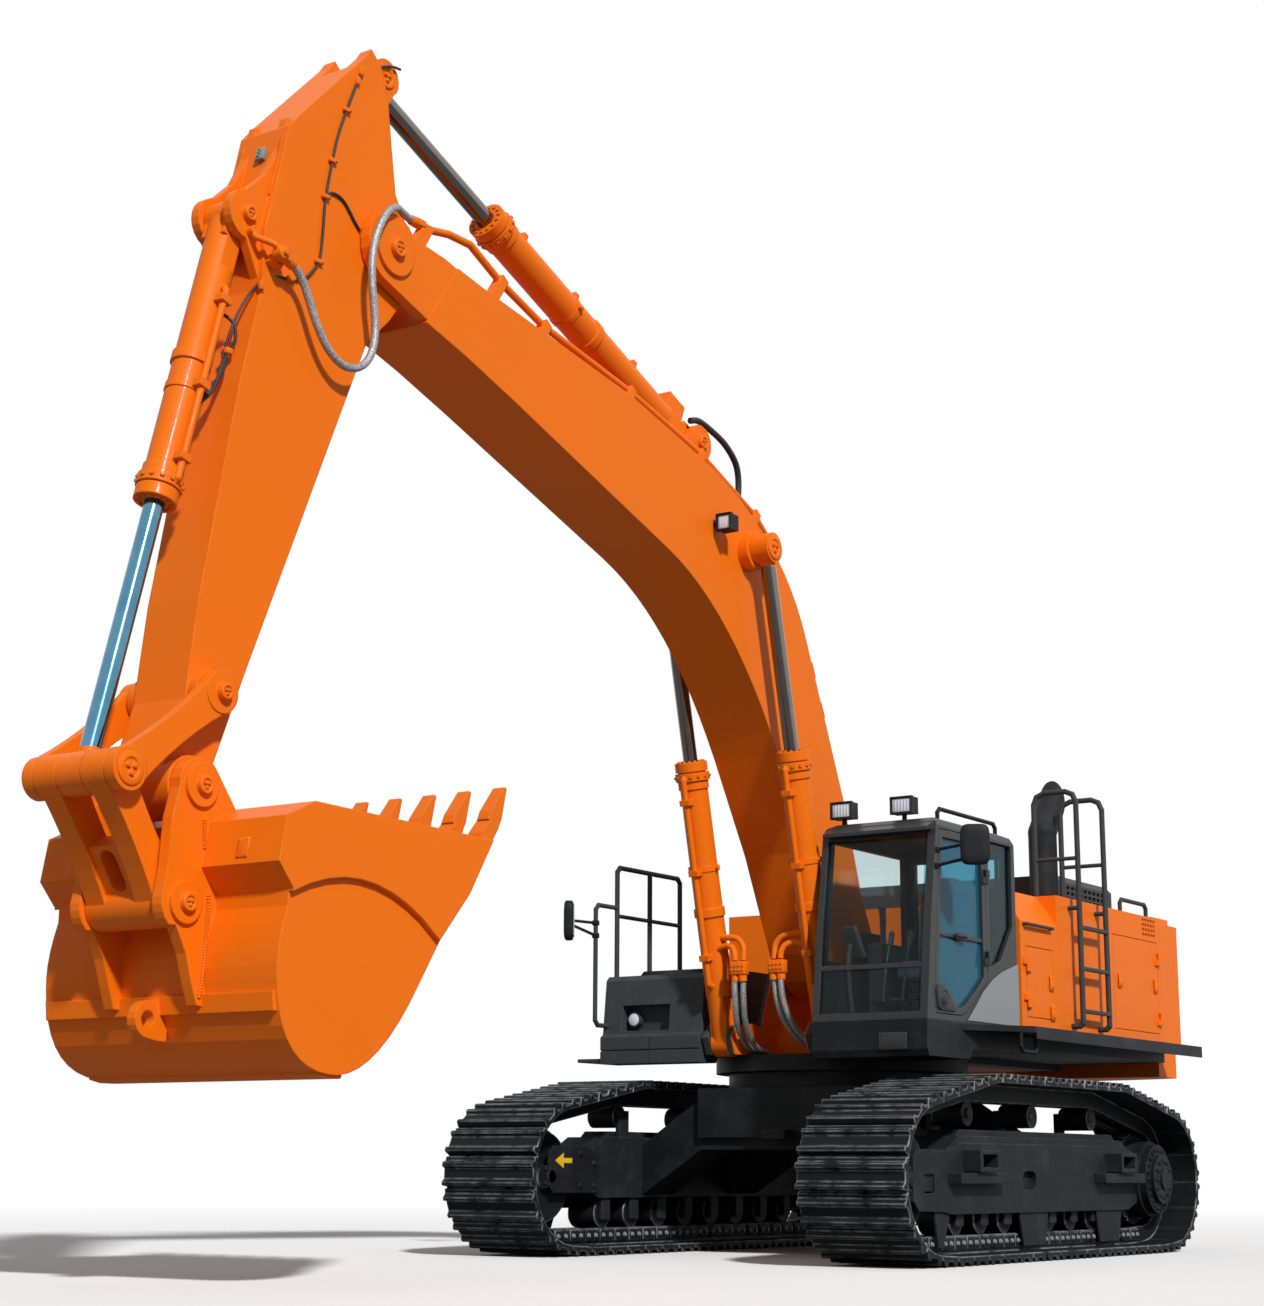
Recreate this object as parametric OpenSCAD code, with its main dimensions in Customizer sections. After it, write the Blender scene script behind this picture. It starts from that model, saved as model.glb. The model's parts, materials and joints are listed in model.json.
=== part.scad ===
// Crawler excavator, backhoe front, about 67 tonnes, millimetres.
// +X forward, +Y to the left (cab side), +Z up, origin on the swing axis at the ground.

/* [Undercarriage] */
// Distance between the track centre lines
gauge = 3300; // [2800:10:3600]
// Distance between sprocket and idler axes
tumbler = 4590; // [4000:10:5200]
// Width of a track shoe
shoe_w = 900; // [600:10:1000]
// Height of the top run of the track
track_h = 1440; // [1380:10:1500]
// Outer radius of the loop at its ends, over the grousers
end_r = 615; // [600:5:640]
// Height of a grouser bar
grouser = 40; // [20:1:50]
// Number of shoes in one loop
shoes = 49; // [40:1:60]
// Depth of the chain with its shoe plate
band_t = 170; // [150:5:180]
// Width of the chain
chain_w = 270; // [220:5:320]
// Height of the sprocket and idler axes
axle_z = 632; // [615:1:640]
// Radius of a bottom roller
roller_r = 120; // [100:1:125]
// Number of bottom rollers on one side
roller_n = 8; // [6:1:9]
// Radius of a carrier roller
carrier_r = 95; // [80:1:100]
// Top of the car body under the swing bearing
car_top = 1370; // [1340:5:1400]
// Ground clearance of the car body
car_low = 860; // [800:10:900]

/* [Upper structure] */
// Outer radius of the swing bearing
ring_r = 1090; // [1000:5:1150]
// Underside of the revolving frame
deck_z = 1640; // [1600:5:1680]
// Top of the revolving frame
floor_z = 1850; // [1820:5:1880]
// Half width of the body
body_y = 1700; // [1650:5:1750]
// Top of the side housings
house_z = 3050; // [2950:5:3150]
// Thickness of a housing wall or door
wall = 50; // [40:1:60]
// Front of the left housing
house_x = -60; // [-80:5:-40]
// Rear swing radius
swing_r = 4020; // [3900:10:4150]
// Bottom of the counterweight
cw_z = 1570; // [1550:5:1600]
// Outer edge of the catwalks
walk_y = 2070; // [2000:5:2100]
// Gap round a door
door_gap = 6; // [5:0.5:10]

/* [Cab] */
// Inner side of the cab, beside the boom
cab_in = 670; // [660:5:700]
// Rear face of the cab
cab_rear = 20; // [0:5:30]
// Front of the cab at the floor
cab_front = 1685; // [1660:5:1700]
// Front of the cab at the roof
cab_brow = 1470; // [1450:5:1490]
// Top of the cab roof
cab_top = 3470; // [3420:5:3520]
// Thickness of a cab wall and of the door
cab_t = 60; // [50:1:70]
// Rear edge of the cab door
door_x = 600; // [590:2:620]
// Thickness of the cab glass
glass_t = 12; // [8:1:16]

/* [Boom] */
// Foot pin, forward of the swing axis
foot_x = 200; // [150:5:250]
// Foot pin, height
foot_z = 2450; // [2400:5:2500]
// Boom length between its pins
boom_len = 7800; // [7600:10:8000]
// Boom chord angle as parked
boom_ang = 34; // [30:0.5:38]
// Boom half width
boom_b = 310; // [290:1:315]
// Boom plate
boom_t = 22; // [16:1:30]
// Boom foot pin radius
foot_r = 75; // [60:1:90]
// Tip pin radius
tip_r = 70; // [60:1:80]

/* [Arm and bucket] */
// Arm length between its pins
arm_len = 4280; // [4100:10:4400]
// Arm angle as parked
arm_ang = -66.8; // [-75:0.2:-60]
// Arm half width
arm_b = 215; // [205:1:225]
// Arm plate
arm_t = 22; // [16:1:30]
// Bucket pin radius
bucket_pin_r = 60; // [50:1:70]
// Bucket half width
bucket_b = 945; // [850:5:960]
// Bucket plate
bucket_t = 45; // [30:1:55]
// Number of bucket teeth
teeth_n = 7; // [5:1:7]

/* [Cylinders] */
// Boom cylinder, distance from the middle
cyl_y = 495; // [490:1:500]
// Boom cylinder barrel radius
boom_barrel_r = 118; // [105:1:125]
// Boom cylinder rod radius
boom_rod_r = 62; // [55:1:70]
// Arm cylinder barrel radius
arm_barrel_r = 130; // [120:1:140]
// Arm cylinder rod radius
arm_rod_r = 70; // [60:1:78]
// Bucket cylinder barrel radius
bkt_barrel_r = 115; // [105:1:125]
// Bucket cylinder rod radius
bkt_rod_r = 62; // [55:1:70]
// Running gap round a rod
rod_gap = 0.5; // [0.3:0.1:2]
// Side gap at a pinned eye
eye_gap = 6; // [5:0.5:10]
// Running gap round a pin
pin_gap = 0.5; // [0.3:0.1:2]

/* [Hidden] */
$fn = 48;
tip_x = foot_x + boom_len * cos(boom_ang);
tip_z = foot_z + boom_len * sin(boom_ang);
bkt_x = tip_x + arm_len * cos(arm_ang);
bkt_z = tip_z + arm_len * sin(arm_ang);
// Shares of the drawn sizes, so that pins and plates follow the lengths
boom_k1 = boom_len / 7800;
arm_k1 = arm_len / 4280;
// Boom points, along the chord and across it
boom_h = boom_k1 * [3361, 1665];
boom_k = boom_k1 * [4250, 2070];
// Arm points, along the arm and in front of it
arm_r = [-1215, 500];
arm_p = [660 * arm_k1, 1115];
arm_a = [arm_len - 597, 90];
arm_c = [arm_len + 202, 528];
// Bucket link pin from the bucket pin, as parked
bkt_d = [92, -695];
// Boom cylinder foot pin
cyl_foot = [1110, 1745];
// Front of the counterweight
cw_x = 820 - swing_r;
// Swing bearing split height and bore radius
ring_split = 1505;
ring_in = 640;
race_r = 800;
plate_r = end_r - grouser;
chain_r = plate_r - band_t;
track_y = gauge / 2;
chain_top = track_h - grouser - band_t;
chain_low = grouser + band_t;

orange = [0.93, 0.40, 0.06];
dark = [0.16, 0.17, 0.18];
grey = [0.30, 0.31, 0.32];
black = [0.07, 0.07, 0.08];
silver = [0.75, 0.76, 0.78];
glass = [0.25, 0.50, 0.58];

// Point helpers
function unit(v) = v / norm(v);
function spin2(v, a) = [v[0] * cos(a) - v[1] * sin(a), v[0] * sin(a) + v[1] * cos(a)];
function ang2(v) = atan2(v[1], v[0]);
function boom_w(p) = [foot_x, foot_z] + spin2(p, boom_ang);
function arm_w(p) = [tip_x, tip_z] + spin2(p, arm_ang);
// A closed outline moved inwards by d, points given anticlockwise
function left_of(v) = [-v[1], v[0]] / norm(v);
function meet(p, u, q, v) = p + u * ((q - p) * [v[1], -v[0]]) / (u * [v[1], -v[0]]);
function inset(p, d) = let (n = len(p)) [for (i = [0:n - 1])
  let (a = p[(i + n - 1) % n], b = p[i], c = p[(i + 1) % n], u = b - a, v = c - b)
  meet(b + d * left_of(u), u, b + d * left_of(v), v)];
// Points of a curve from a to c, pulled towards b
function bend(a, b, c, n) = [for (i = [0:n]) let (t = i / n)
  (1 - t) * (1 - t) * a + 2 * t * (1 - t) * b + t * t * c];
// Points of an arc
function arc(c, r, a0, a1, n) = [for (i = [0:n]) let (a = a0 + (a1 - a0) * i / n) c + r * [cos(a), sin(a)]];

// An outline in X and Z drawn from y0 to y1
module xz(p, y0, y1) {
  translate([0, y1, 0]) rotate([90, 0, 0]) linear_extrude(y1 - y0) polygon(p);
}
// An outline in Y and Z drawn from x0 to x1
module across(x0, x1, p) {
  translate([x0, 0, 0]) rotate([90, 0, 90]) linear_extrude(x1 - x0) polygon(p);
}
// The same on both sides of the middle
module pair(y0, y1, p) {
  xz(p, y0, y1);
  xz(p, -y1, -y0);
}
// A round bar across, centre at x and z
module ybar(p, r, y0, y1) {
  translate([p[0], y1, p[1]]) rotate([90, 0, 0]) cylinder(r = r, h = y1 - y0);
}
module box(x0, x1, y0, y1, z0, z1) {
  translate([x0, y0, z0]) cube([x1 - x0, y1 - y0, z1 - z0]);
}
// A straight round tube between two points
module rod3(a, b, r) {
  d = b - a;
  translate(a) rotate([0, acos(d[2] / norm(d)), atan2(d[1], d[0])]) cylinder(r = r, h = norm(d), $fn = 16);
}
// A bent round tube through a list of points
module tube(p, r) {
  for (i = [0:len(p) - 2])
    rod3(p[i], p[i + 1], r);
  for (i = [1:len(p) - 2])
    translate(p[i]) sphere(r = r + 1, $fn = 16);
}
module at_boom() {
  translate([foot_x, 0, foot_z]) rotate([0, -boom_ang, 0]) children();
}
module at_arm() {
  translate([tip_x, 0, tip_z]) rotate([0, -arm_ang, 0]) children();
}
module at_bucket() {
  translate([bkt_x, 0, bkt_z]) children();
}
module along(a, b) {
  translate([a[0], 0, a[1]]) rotate([0, -ang2(b - a), 0]) children();
}
module both(y) {
  translate([0, y, 0]) children();
  translate([0, -y, 0]) children();
}

// Track loop, seen from the side
end_c = tumbler / 2;
lift_c = tumbler * 0.27;
lift_r = 320;
// Circles the plate line runs round, anticlockwise from the front
function belt_c() = [[end_c, axle_z], [lift_c, track_h - grouser - lift_r],
  [-lift_c, track_h - grouser - lift_r], [-end_c, axle_z],
  [-end_c + 300, grouser + lift_r], [end_c - 300, grouser + lift_r]];
function belt_r(off) = [plate_r + off, lift_r + off, lift_r + off, plate_r + off, lift_r + off,
  lift_r + off];
// Direction of the outer tangent from circle i to the next one
function tan_dir(i, off) = let (c = belt_c(), r = belt_r(off), n = len(c), d = c[(i + 1) % n] - c[i],
  k = (r[i] - r[(i + 1) % n]) / norm(d)) ang2(d) - 90 + asin(k);
function wrap(a) = a < 0 ? a + 360 : (a >= 360 ? a - 360 : a);
function belt_arc(i, off, m) = let (n = 6, a0 = tan_dir((i + n - 1) % n, off),
  a1 = a0 + wrap(tan_dir(i, off) - a0))
  arc(belt_c()[i], belt_r(off)[i], a0, a1, m);
function belt(off) = concat(belt_arc(0, off, 14), belt_arc(1, off, 4), belt_arc(2, off, 4),
  belt_arc(3, off, 14), belt_arc(4, off, 3), belt_arc(5, off, 3));
// Length along a closed outline up to each point
function run(p, i = 0, s = 0) = i > len(p) ? [] : concat([s], i == len(p) ? [] :
  run(p, i + 1, s + norm(p[(i + 1) % len(p)] - p[i])));
function seg_of(l, s, i = 0) = i >= len(l) - 2 || l[i + 1] > s ? i : seg_of(l, s, i + 1);
// The point a length s along the outline, moved outwards by h
function walk(p, l, s, h) = let (i = seg_of(l, s), a = p[i], b = p[(i + 1) % len(p)], u = unit(b - a))
  a + u * (s - l[i]) + h * [u[1], -u[0]];
function shoe_line() = let (p = belt(0), l = run(p), total = l[len(p)], s = total / shoes)
  [for (k = [0:shoes - 1], q = [[0.02, 0], [0.07, grouser], [0.17, grouser], [0.25, 6], [0.56, 6],
  [0.62, grouser], [0.72, grouser], [0.80, 4], [0.93, 4], [0.95, -26], [0.99, -26]])
  walk(p, l, s * (k + q[0]), q[1])];

module track_loop() {
  difference() {
    xz(shoe_line(), -shoe_w / 2, shoe_w / 2);
    xz(belt(-34), -shoe_w / 2 - 1, shoe_w / 2 + 1);
  }
  for (y = [-1, 1])
    translate([0, y * (chain_w / 2 - 35), 0]) difference() {
      xz(belt(-33), -35, 35);
      xz(belt(-band_t), -36, 36);
    }
}
module track_left() {
  color(black) translate([0, track_y, 0]) track_loop();
}
module track_right() {
  color(black) translate([0, -track_y, 0]) track_loop();
}

// Undercarriage
frame_y = 200;
hang_y = chain_w / 2 + 10;
roller_z = chain_low + roller_r + 0.3;
frame_z = roller_z + roller_r + 8;
carrier_z = chain_top - carrier_r - 0.3;
carrier_x = [-1210, 0, 1210];
guard_x = [-1380, 160];
function roller_x(i) = -1560 + i * 3020 / (roller_n - 1);
module track_frame() {
  difference() {
    union() {
      xz([[-1880, 500], [-1700, frame_z], [1600, frame_z], [1700, 500], [1700, 860],
        [1500, 960], [-1700, 960], [-1880, 860]], -frame_y, frame_y);
      xz([[-1750, 930], [1450, 930], [1350, 1010], [-1650, 1010]], -frame_y + 70, frame_y - 70);
      // Outer side plate with its ends over the idler and towards the drive
      xz([[-1960, 430], [-1760, 370], [1700, 370], [1800, 390], [2230, 400], [2300, 470], [2300, 800],
        [2240, 850], [1700, 850], [1560, 905], [-1700, 905], [-1960, 850]], frame_y - 20, frame_y + 20);
      // Front guard towards the ground
      xz([[1640, frame_z], [1930, 400], [1880, 130], [1800, 120]], hang_y + 35, frame_y);
      // Guards between the rollers
      for (x = guard_x)
        xz([[x - 300, frame_z], [x - 200, 110], [x + 200, 110], [x + 300, frame_z]], hang_y + 35, frame_y);
    }
    // Openings in the side plate
    xz([[1960, 530], [2130, 530], [2130, 670], [1960, 670]], frame_y - 21, frame_y + 21);
    for (x = [210, 330])
      ybar([x, 620], 75, frame_y - 40, frame_y + 21);
    xz([[210, 545], [330, 545], [330, 695], [210, 695]], frame_y - 40, frame_y + 21);
  }
  // Idler yoke arms
  for (y = [-1, 1])
    translate([0, y * 165, 0]) box(1690, end_c + 60, -30, 30, axle_z - 90, axle_z + 90);
  // Sprocket end plate
  box(-end_c + 40, -1870, -frame_y, -90, axle_z - 170, axle_z + 170);
  // Hangers of the bottom rollers
  for (i = [0:roller_n - 1], y = [-hang_y - 30, hang_y])
    box(roller_x(i) - 60, roller_x(i) + 60, y, y + 30, roller_z - 50, frame_z);
  // Brackets of the carrier rollers
  for (x = carrier_x)
    box(x - 70, x + 70, -hang_y - 40, -hang_y, 900, carrier_z + 50);
}
module track_frames() {
  color(black) translate([0, track_y, 0]) track_frame();
  color(black) mirror([0, 1, 0]) translate([0, track_y, 0]) track_frame();
}
module idlers() {
  color(black) both(track_y) difference() {
    union() {
      ybar([end_c, axle_z], chain_r - 4, -60, 60);
      ybar([end_c, axle_z], chain_r - 40, -125, 125);
      ybar([end_c, axle_z], 90, -135, 135);
    }
  }
}
module sprocket() {
  difference() {
    ybar([-end_c, axle_z], chain_r - 8, -55, 55);
    for (i = [0:22])
      rotate_at([-end_c, axle_z], i * 360 / 23) translate([chain_r + 6, 0, 0])
        rotate([90, 0, 0]) cylinder(r = 34, h = 140, center = true, $fn = 16);
  }
}
module rotate_at(p, a) {
  translate([p[0], 0, p[1]]) rotate([0, a, 0]) children();
}
module sprockets() {
  color(black) both(track_y) sprocket();
}
module final_drives() {
  color(black) for (m = [0, 1])
    mirror([0, m, 0]) translate([0, track_y, 0]) {
      ybar([-end_c, axle_z], 330, 55, 230);
      ybar([-end_c, axle_z], 300, 230, 300);
      ybar([-end_c, axle_z], 215, 300, 345);
      ybar([-end_c, axle_z], 90, 345, 370);
      ybar([-end_c, axle_z], 300, -90, -55);
      ybar([-end_c, axle_z], 280, -420, -200);
    }
}
module bottom_rollers() {
  color(black) both(track_y) for (i = [0:roller_n - 1])
    translate([roller_x(i), 0, 0]) {
      ybar([0, roller_z], roller_r, -chain_w / 2, chain_w / 2);
      ybar([0, roller_z], 40, -hang_y, hang_y);
    }
}
module carrier_rollers() {
  color(black) for (m = [0, 1], x = carrier_x)
    mirror([0, m, 0]) translate([0, track_y, 0]) {
      ybar([x, carrier_z], carrier_r, -chain_w / 2, chain_w / 2);
      ybar([x, carrier_z], 40, -hang_y, chain_w / 2 + 15);
    }
}
module track_steps() {
  color(black) for (m = [0, 1])
    mirror([0, m, 0]) translate([0, track_y + frame_y + 20, 0]) for (x = [1300, -1470]) {
      // Upper box tread on two posts, lower bar tread ahead of it
      difference() {
        box(x - 170, x + 170, 0, 150, 690, 850);
        box(x - 130, x + 130, 40, 151, 720, 820);
      }
      difference() {
        box(x - 430, x + 430, 0, 110, 600, 680);
        box(x - 390, x + 390, 30, 80, 599, 681);
      }
    }
}
tow_x = 1090;
tow_z = 980;
tow_r = 40;
module car_body() {
  leg = track_y - frame_y;
  color(black) difference() {
    union() {
      box(-1000, 1000, -850, 850, car_low + 100, car_top);
      for (x = [-950, 450])
        translate([x, 0, 0]) rotate([90, 0, 90]) linear_extrude(500) polygon([[-leg, 480], [-850, car_low],
          [850, car_low], [leg, 480], [leg, 900], [850, car_top - 80], [-850, car_top - 80], [-leg, 900]]);
    }
    translate([0, 0, car_low - 1]) cylinder(r = 420, h = 700);
  }
  // Tow eyes, front and rear
  color(black) for (m = [0, 1])
    mirror([m, 0, 0]) difference() {
      box(950, tow_x + 90, -110, 110, tow_z - 35, tow_z + 35);
      translate([tow_x, 0, tow_z - 36]) cylinder(r = tow_r, h = 72);
    }
}
module swing_ring_lower() {
  color(black) translate([0, 0, car_top]) difference() {
    union() {
      cylinder(r = ring_r - 110, h = ring_split - 5 - car_top);
      cylinder(r = race_r - pin_gap, h = ring_split + 80 - car_top);
    }
    translate([0, 0, -1]) cylinder(r = ring_in, h = 400);
  }
}

// Upper structure
module swing_ring_upper() {
  color(black) translate([0, 0, ring_split]) difference() {
    cylinder(r = ring_r, h = deck_z - ring_split);
    translate([0, 0, -1]) cylinder(r = race_r, h = 400);
  }
}
// Frame plates beside the boom foot and lugs of the boom cylinders
foot_in = boom_b + 40;
foot_out = foot_in + 50;
lug_in = cyl_y - 80 - eye_gap;
lug_out = cyl_y + 80 + eye_gap;
module revolving_frame() {
  color(dark) {
    difference() {
      union() {
        box(cw_x, 500, -640, 640, deck_z, floor_z);
        for (y = [-640, foot_in])
          box(400, 880, y, y + 640 - foot_in, deck_z, floor_z);
        box(cw_x, -60, -body_y, body_y, deck_z + 60, floor_z);
        box(-60, 700, -body_y, -700, deck_z + 60, floor_z);
      }
      translate([0, 0, deck_z - 1]) cylinder(r = 420, h = 400);
    }
    // Boom foot plates
    difference() {
      pair(foot_in, foot_out, [[-900, floor_z], [760, floor_z], [760, floor_z + 60],
        [foot_x + 300, foot_z + 60], [foot_x + 180, foot_z + 250], [foot_x - 200, foot_z + 250],
        [foot_x - 330, foot_z + 100]]);
      ybar([foot_x, foot_z], foot_r, -foot_out - 1, foot_out + 1);
    }
    // Lugs of the boom cylinders
    difference() {
      for (y = [lug_in - 60, lug_out])
        pair(y, y + 60, [[600, deck_z], [1010, deck_z], [cyl_foot[0] + 90, deck_z],
          [cyl_foot[0] + 150, cyl_foot[1] + 40], [cyl_foot[0] + 60, cyl_foot[1] + 140],
          [cyl_foot[0] - 80, cyl_foot[1] + 150], [900, floor_z + 60], [600, floor_z]]);
      ybar(cyl_foot, 62, -lug_out - 61, lug_out + 61);
    }
  }
  // Boom foot pin
  color(dark) ybar([foot_x, foot_z], foot_r, -foot_out - 30, foot_out + 30);
  color(dark) both(cyl_y) ybar(cyl_foot, 62, -160, 160);
}
function cw_line(y) = -sqrt(swing_r * swing_r - y * y);
module counterweight() {
  n = 14;
  pts = concat([[cw_x, -body_y], [cw_x, body_y]],
    [for (i = [0:n]) let (y = body_y - i * 2 * body_y / n) [cw_line(y), y]]);
  top = concat([[cw_x, -body_y + 70], [cw_x, body_y - 70]],
    [for (i = [0:n]) let (y = body_y - 70 - i * 2 * (body_y - 70) / n) [cw_line(y) + 70, y]]);
  low = concat([[cw_x, -body_y + 60], [cw_x, body_y - 60]],
    [for (i = [0:n]) let (y = body_y - 60 - i * 2 * (body_y - 60) / n) [cw_line(y) + 30, y]]);
  color(orange) translate([0, 0, floor_z]) linear_extrude(house_z - 40 - floor_z) polygon(pts);
  color(orange) translate([0, 0, house_z - 41]) linear_extrude(71) polygon(top);
  color(orange) translate([0, 0, cw_z]) linear_extrude(floor_z - cw_z) polygon(low);
}
// Door openings in the side walls, front and rear edge, low and high edge
left_a = [-720, -160, 1960, 2560];
left_b = [cw_x + 80, -2050, 1960, 2820];
right_a = [cw_x + 80, -1500, 1960, 2760];
// Sloping shoulder of the left front housing
slope_x = -820;
slope_z = house_z - 280;
slope_y = body_y - 200;
vent_z = 2862;
module side_wall(y0, y1, x1) {
  difference() {
    box(cw_x, x1, y0, y1, floor_z, house_z);
    children();
  }
}
module opening(d, y0, y1) {
  box(d[0], d[1], y0, y1, d[2], d[3]);
}
roof_in = 900;
module side_housings() {
  color(orange) {
    // Left side
    difference() {
      union() {
        side_wall(body_y - wall, body_y, house_x) {
          opening(left_a, body_y - wall - 1, body_y + 1);
          opening(left_b, body_y - wall - 1, body_y + 1);
          // Louvre holes above the rear door
          for (i = [0:4], j = [0:3])
            box(cw_x + 110 + i * 66, cw_x + 160 + i * 66, body_y - wall - 1, body_y + 1,
              vent_z + j * 45, vent_z + 28 + j * 45);
        }
        box(house_x - wall, house_x, 760, body_y - wall, floor_z, house_z);
        box(cw_x, house_x, roof_in, body_y - wall, house_z - wall, house_z);
      }
      across(slope_x, 0, [[body_y + 1, slope_z], [body_y + 1, house_z + 1], [slope_y - 1, house_z + 1],
        [slope_y, house_z], [body_y, slope_z]]);
    }
    across(slope_x, house_x, [[body_y, slope_z], [slope_y, house_z], [slope_y - 60, house_z],
      [body_y - wall, slope_z - 14]]);
    across(slope_x - wall, slope_x, [[body_y - wall, slope_z - 14], [body_y, slope_z], [body_y, house_z],
      [slope_y - 60, house_z]]);
    // Right side
    side_wall(-body_y, -body_y + wall, -900) opening(right_a, -body_y - 1, -body_y + wall + 1);
    box(-900 - wall, -900, -body_y + wall, -760, floor_z, house_z);
    box(cw_x, -900, -body_y + wall, -roof_in, house_z - wall, house_z);
  }
  color(orange) {
    wall_hinges(left_a[1], 1, hinge_zs(left_a), -70);
    wall_hinges(left_b[0], 1, hinge_zs(left_b), 70);
    wall_hinges(right_a[0], -1, hinge_zs(right_a), 70);
  }
  // Fixed knuckles of the engine hood
  color(dark) for (y = [-640, 520])
    hood_knuckle(y, house_z, hood_ax);
  // Dark inner roof and front wall
  color(dark) difference() {
    box(cw_x, -1000, -roof_in, roof_in, house_z - wall, house_z);
    box(hood_x0 + 60, hood_x1 - 60, -780, 780, house_z - wall - 1, house_z + 1);
  }
  color(dark) box(-1050, -1000, -760, 760, floor_z, house_z - wall);
}
module engine_block() {
  color(grey) box(cw_x + 300, -1300, -600, 600, floor_z, house_z - 200);
}
// Hinge knuckles: the lower one on the leaf, the upper one on the wall
hinge_y = 20;
knuckle_h = 60;
module knuckle(x, side, z, dx) {
  translate([x, side * (body_y + hinge_y), z]) cylinder(r = 18, h = knuckle_h);
  box(min(x, x + dx), max(x, x + dx), min(side * body_y, side * (body_y + hinge_y)),
    max(side * body_y, side * (body_y + hinge_y)), z, z + knuckle_h);
}
module leaf_hinges(x, side, zs, dx) {
  for (z = zs)
    knuckle(x, side, z, dx);
}
module wall_hinges(x, side, zs, dx) {
  for (z = zs)
    knuckle(x, side, z + knuckle_h + 0.3, -dx);
}
function hinge_zs(d) = [d[2] + 80, d[3] - 220];
module door_leaf(d, y0, y1) {
  box(d[0] + door_gap, d[1] - door_gap, y0, y1, d[2] + door_gap, d[3] - door_gap);
}
module left_front_door() {
  color(orange) door_leaf(left_a, body_y - wall, body_y);
  color(orange) leaf_hinges(left_a[1], 1, hinge_zs(left_a), -70);
}
module left_rear_door() {
  color(orange) door_leaf(left_b, body_y - wall, body_y);
  color(orange) leaf_hinges(left_b[0], 1, hinge_zs(left_b), 70);
}
module right_door() {
  color(orange) door_leaf(right_a, -body_y, -body_y + wall);
  color(orange) leaf_hinges(right_a[0], -1, hinge_zs(right_a), 70);
}
hood_x0 = cw_x + 50;
hood_x1 = -1920;
hood_y = 1250;
hood_h = 330;
hood_ax = hood_x0 - 22;
module hood_knuckle(y, low, x1) {
  ybar([hood_ax, house_z + 20], 18, y, y + 60);
  box(min(hood_ax - 12, x1), max(hood_ax + 12, x1), y, y + 60, low, house_z + 20);
}
module engine_hood() {
  color(dark) for (y = [-579.7, 580.3])
    hood_knuckle(y, house_z + 8, hood_x0 + 1);
  color(dark) difference() {
    across(hood_x0, hood_x1, [[-hood_y, house_z + 6], [hood_y, house_z + 6],
      [hood_y, house_z + hood_h - 60],
      [hood_y - 60, house_z + hood_h], [60 - hood_y, house_z + hood_h], [-hood_y, house_z + hood_h - 60]]);
    box(hood_x0 + 40, hood_x1 - 40, -hood_y + 40, hood_y - 40, house_z, house_z + hood_h - 70);
    // Slots of the grille, left and right
    for (i = [0:10], j = [0:3])
      box(hood_x0 + 80 + i * 100, hood_x0 + 155 + i * 100, -hood_y - 1, hood_y + 1,
        house_z + 50 + j * 52, house_z + 84 + j * 52);
  }
}
pipe_r = 130;
pipe_h = 690;
module exhaust_stack() {
  color(black) translate([-1700, 1200, house_z]) difference() {
    union() {
      cylinder(r = pipe_r, h = pipe_h);
      cylinder(r = pipe_r + 25, h = 60);
      translate([0, 0, pipe_h]) rotate([0, -38, 0]) cylinder(r = pipe_r, h = 560);
      translate([0, 0, pipe_h]) sphere(r = pipe_r + 2);
    }
    translate([0, 0, 80]) cylinder(r = pipe_r - 14, h = pipe_h - 80);
    translate([0, 0, pipe_h]) rotate([0, -38, 0]) cylinder(r = pipe_r - 14, h = 600);
    translate([0, 0, pipe_h]) sphere(r = pipe_r - 14);
    // The end is cut upright
    box(-800, -240, -300, 300, 0, 1500);
  }
}
// Tool box with its lamp recess and drawers, and a step beside it
tool_y0 = 20 - body_y;
tool_y1 = -665;
tank_z = 2420;
tool_line = [[700, deck_z], [960, deck_z], [1000, deck_z - 60], [1270, deck_z - 60], [1270, 1810],
  [1230, 1835],
  [1180, 2300], [1140, 2340], [700, 2340]];
module tool_box() {
  color(dark) difference() {
    xz(tool_line, tool_y0, tool_y1);
    box(1090, 1300, -1490, -1000, 1860, 2080);
    // Seams of the drawers
    for (z = [1690, 1815])
      box(1255, 1300, tool_y0 - 1, tool_y1 + 1, z, z + 10);
    box(1255, 1300, -1180, -1170, deck_z - 61, 1815);
  }
  color(black) translate([1090, -1400, 1960]) rotate([0, 90, 0]) cylinder(r = 62, h = 75);
  color(dark) box(860, 1240, tool_y0 - 260, tool_y0, deck_z - 40, deck_z - 10);
}
module fuel_tank() {
  color(dark) across(-880, 680, [[tool_y0, floor_z], [-800, floor_z], [-800, tank_z],
    [tool_y0 + 60, tank_z],
    [tool_y0, tank_z - 60]]);
}
module catwalks() {
  color(dark) {
    translate([0, 0, floor_z - 60]) linear_extrude(50) polygon([[1100, body_y], [500, walk_y],
      [cw_x, walk_y], [cw_x, body_y]]);
    translate([0, 0, floor_z - 60]) linear_extrude(50) polygon([[-900, -body_y], [-900, -walk_y],
      [cw_x, -walk_y], [cw_x, -body_y]]);
    // Kick board along the left walk
    box(cw_x, 480, walk_y - 12, walk_y, floor_z - 110, floor_z - 59);
    // Step loop hung under the front of the left walk
    tube([[300, walk_y - 90, floor_z - 59], [300, walk_y - 90, deck_z + 40], [340, walk_y - 90, deck_z],
      [560, walk_y - 90, deck_z], [600, walk_y - 90, deck_z + 40], [600, walk_y - 90, floor_z - 59]], 18);
  }
}
ladder_x = [-1080, -1660];
ladder_y = body_y + 105;
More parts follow.
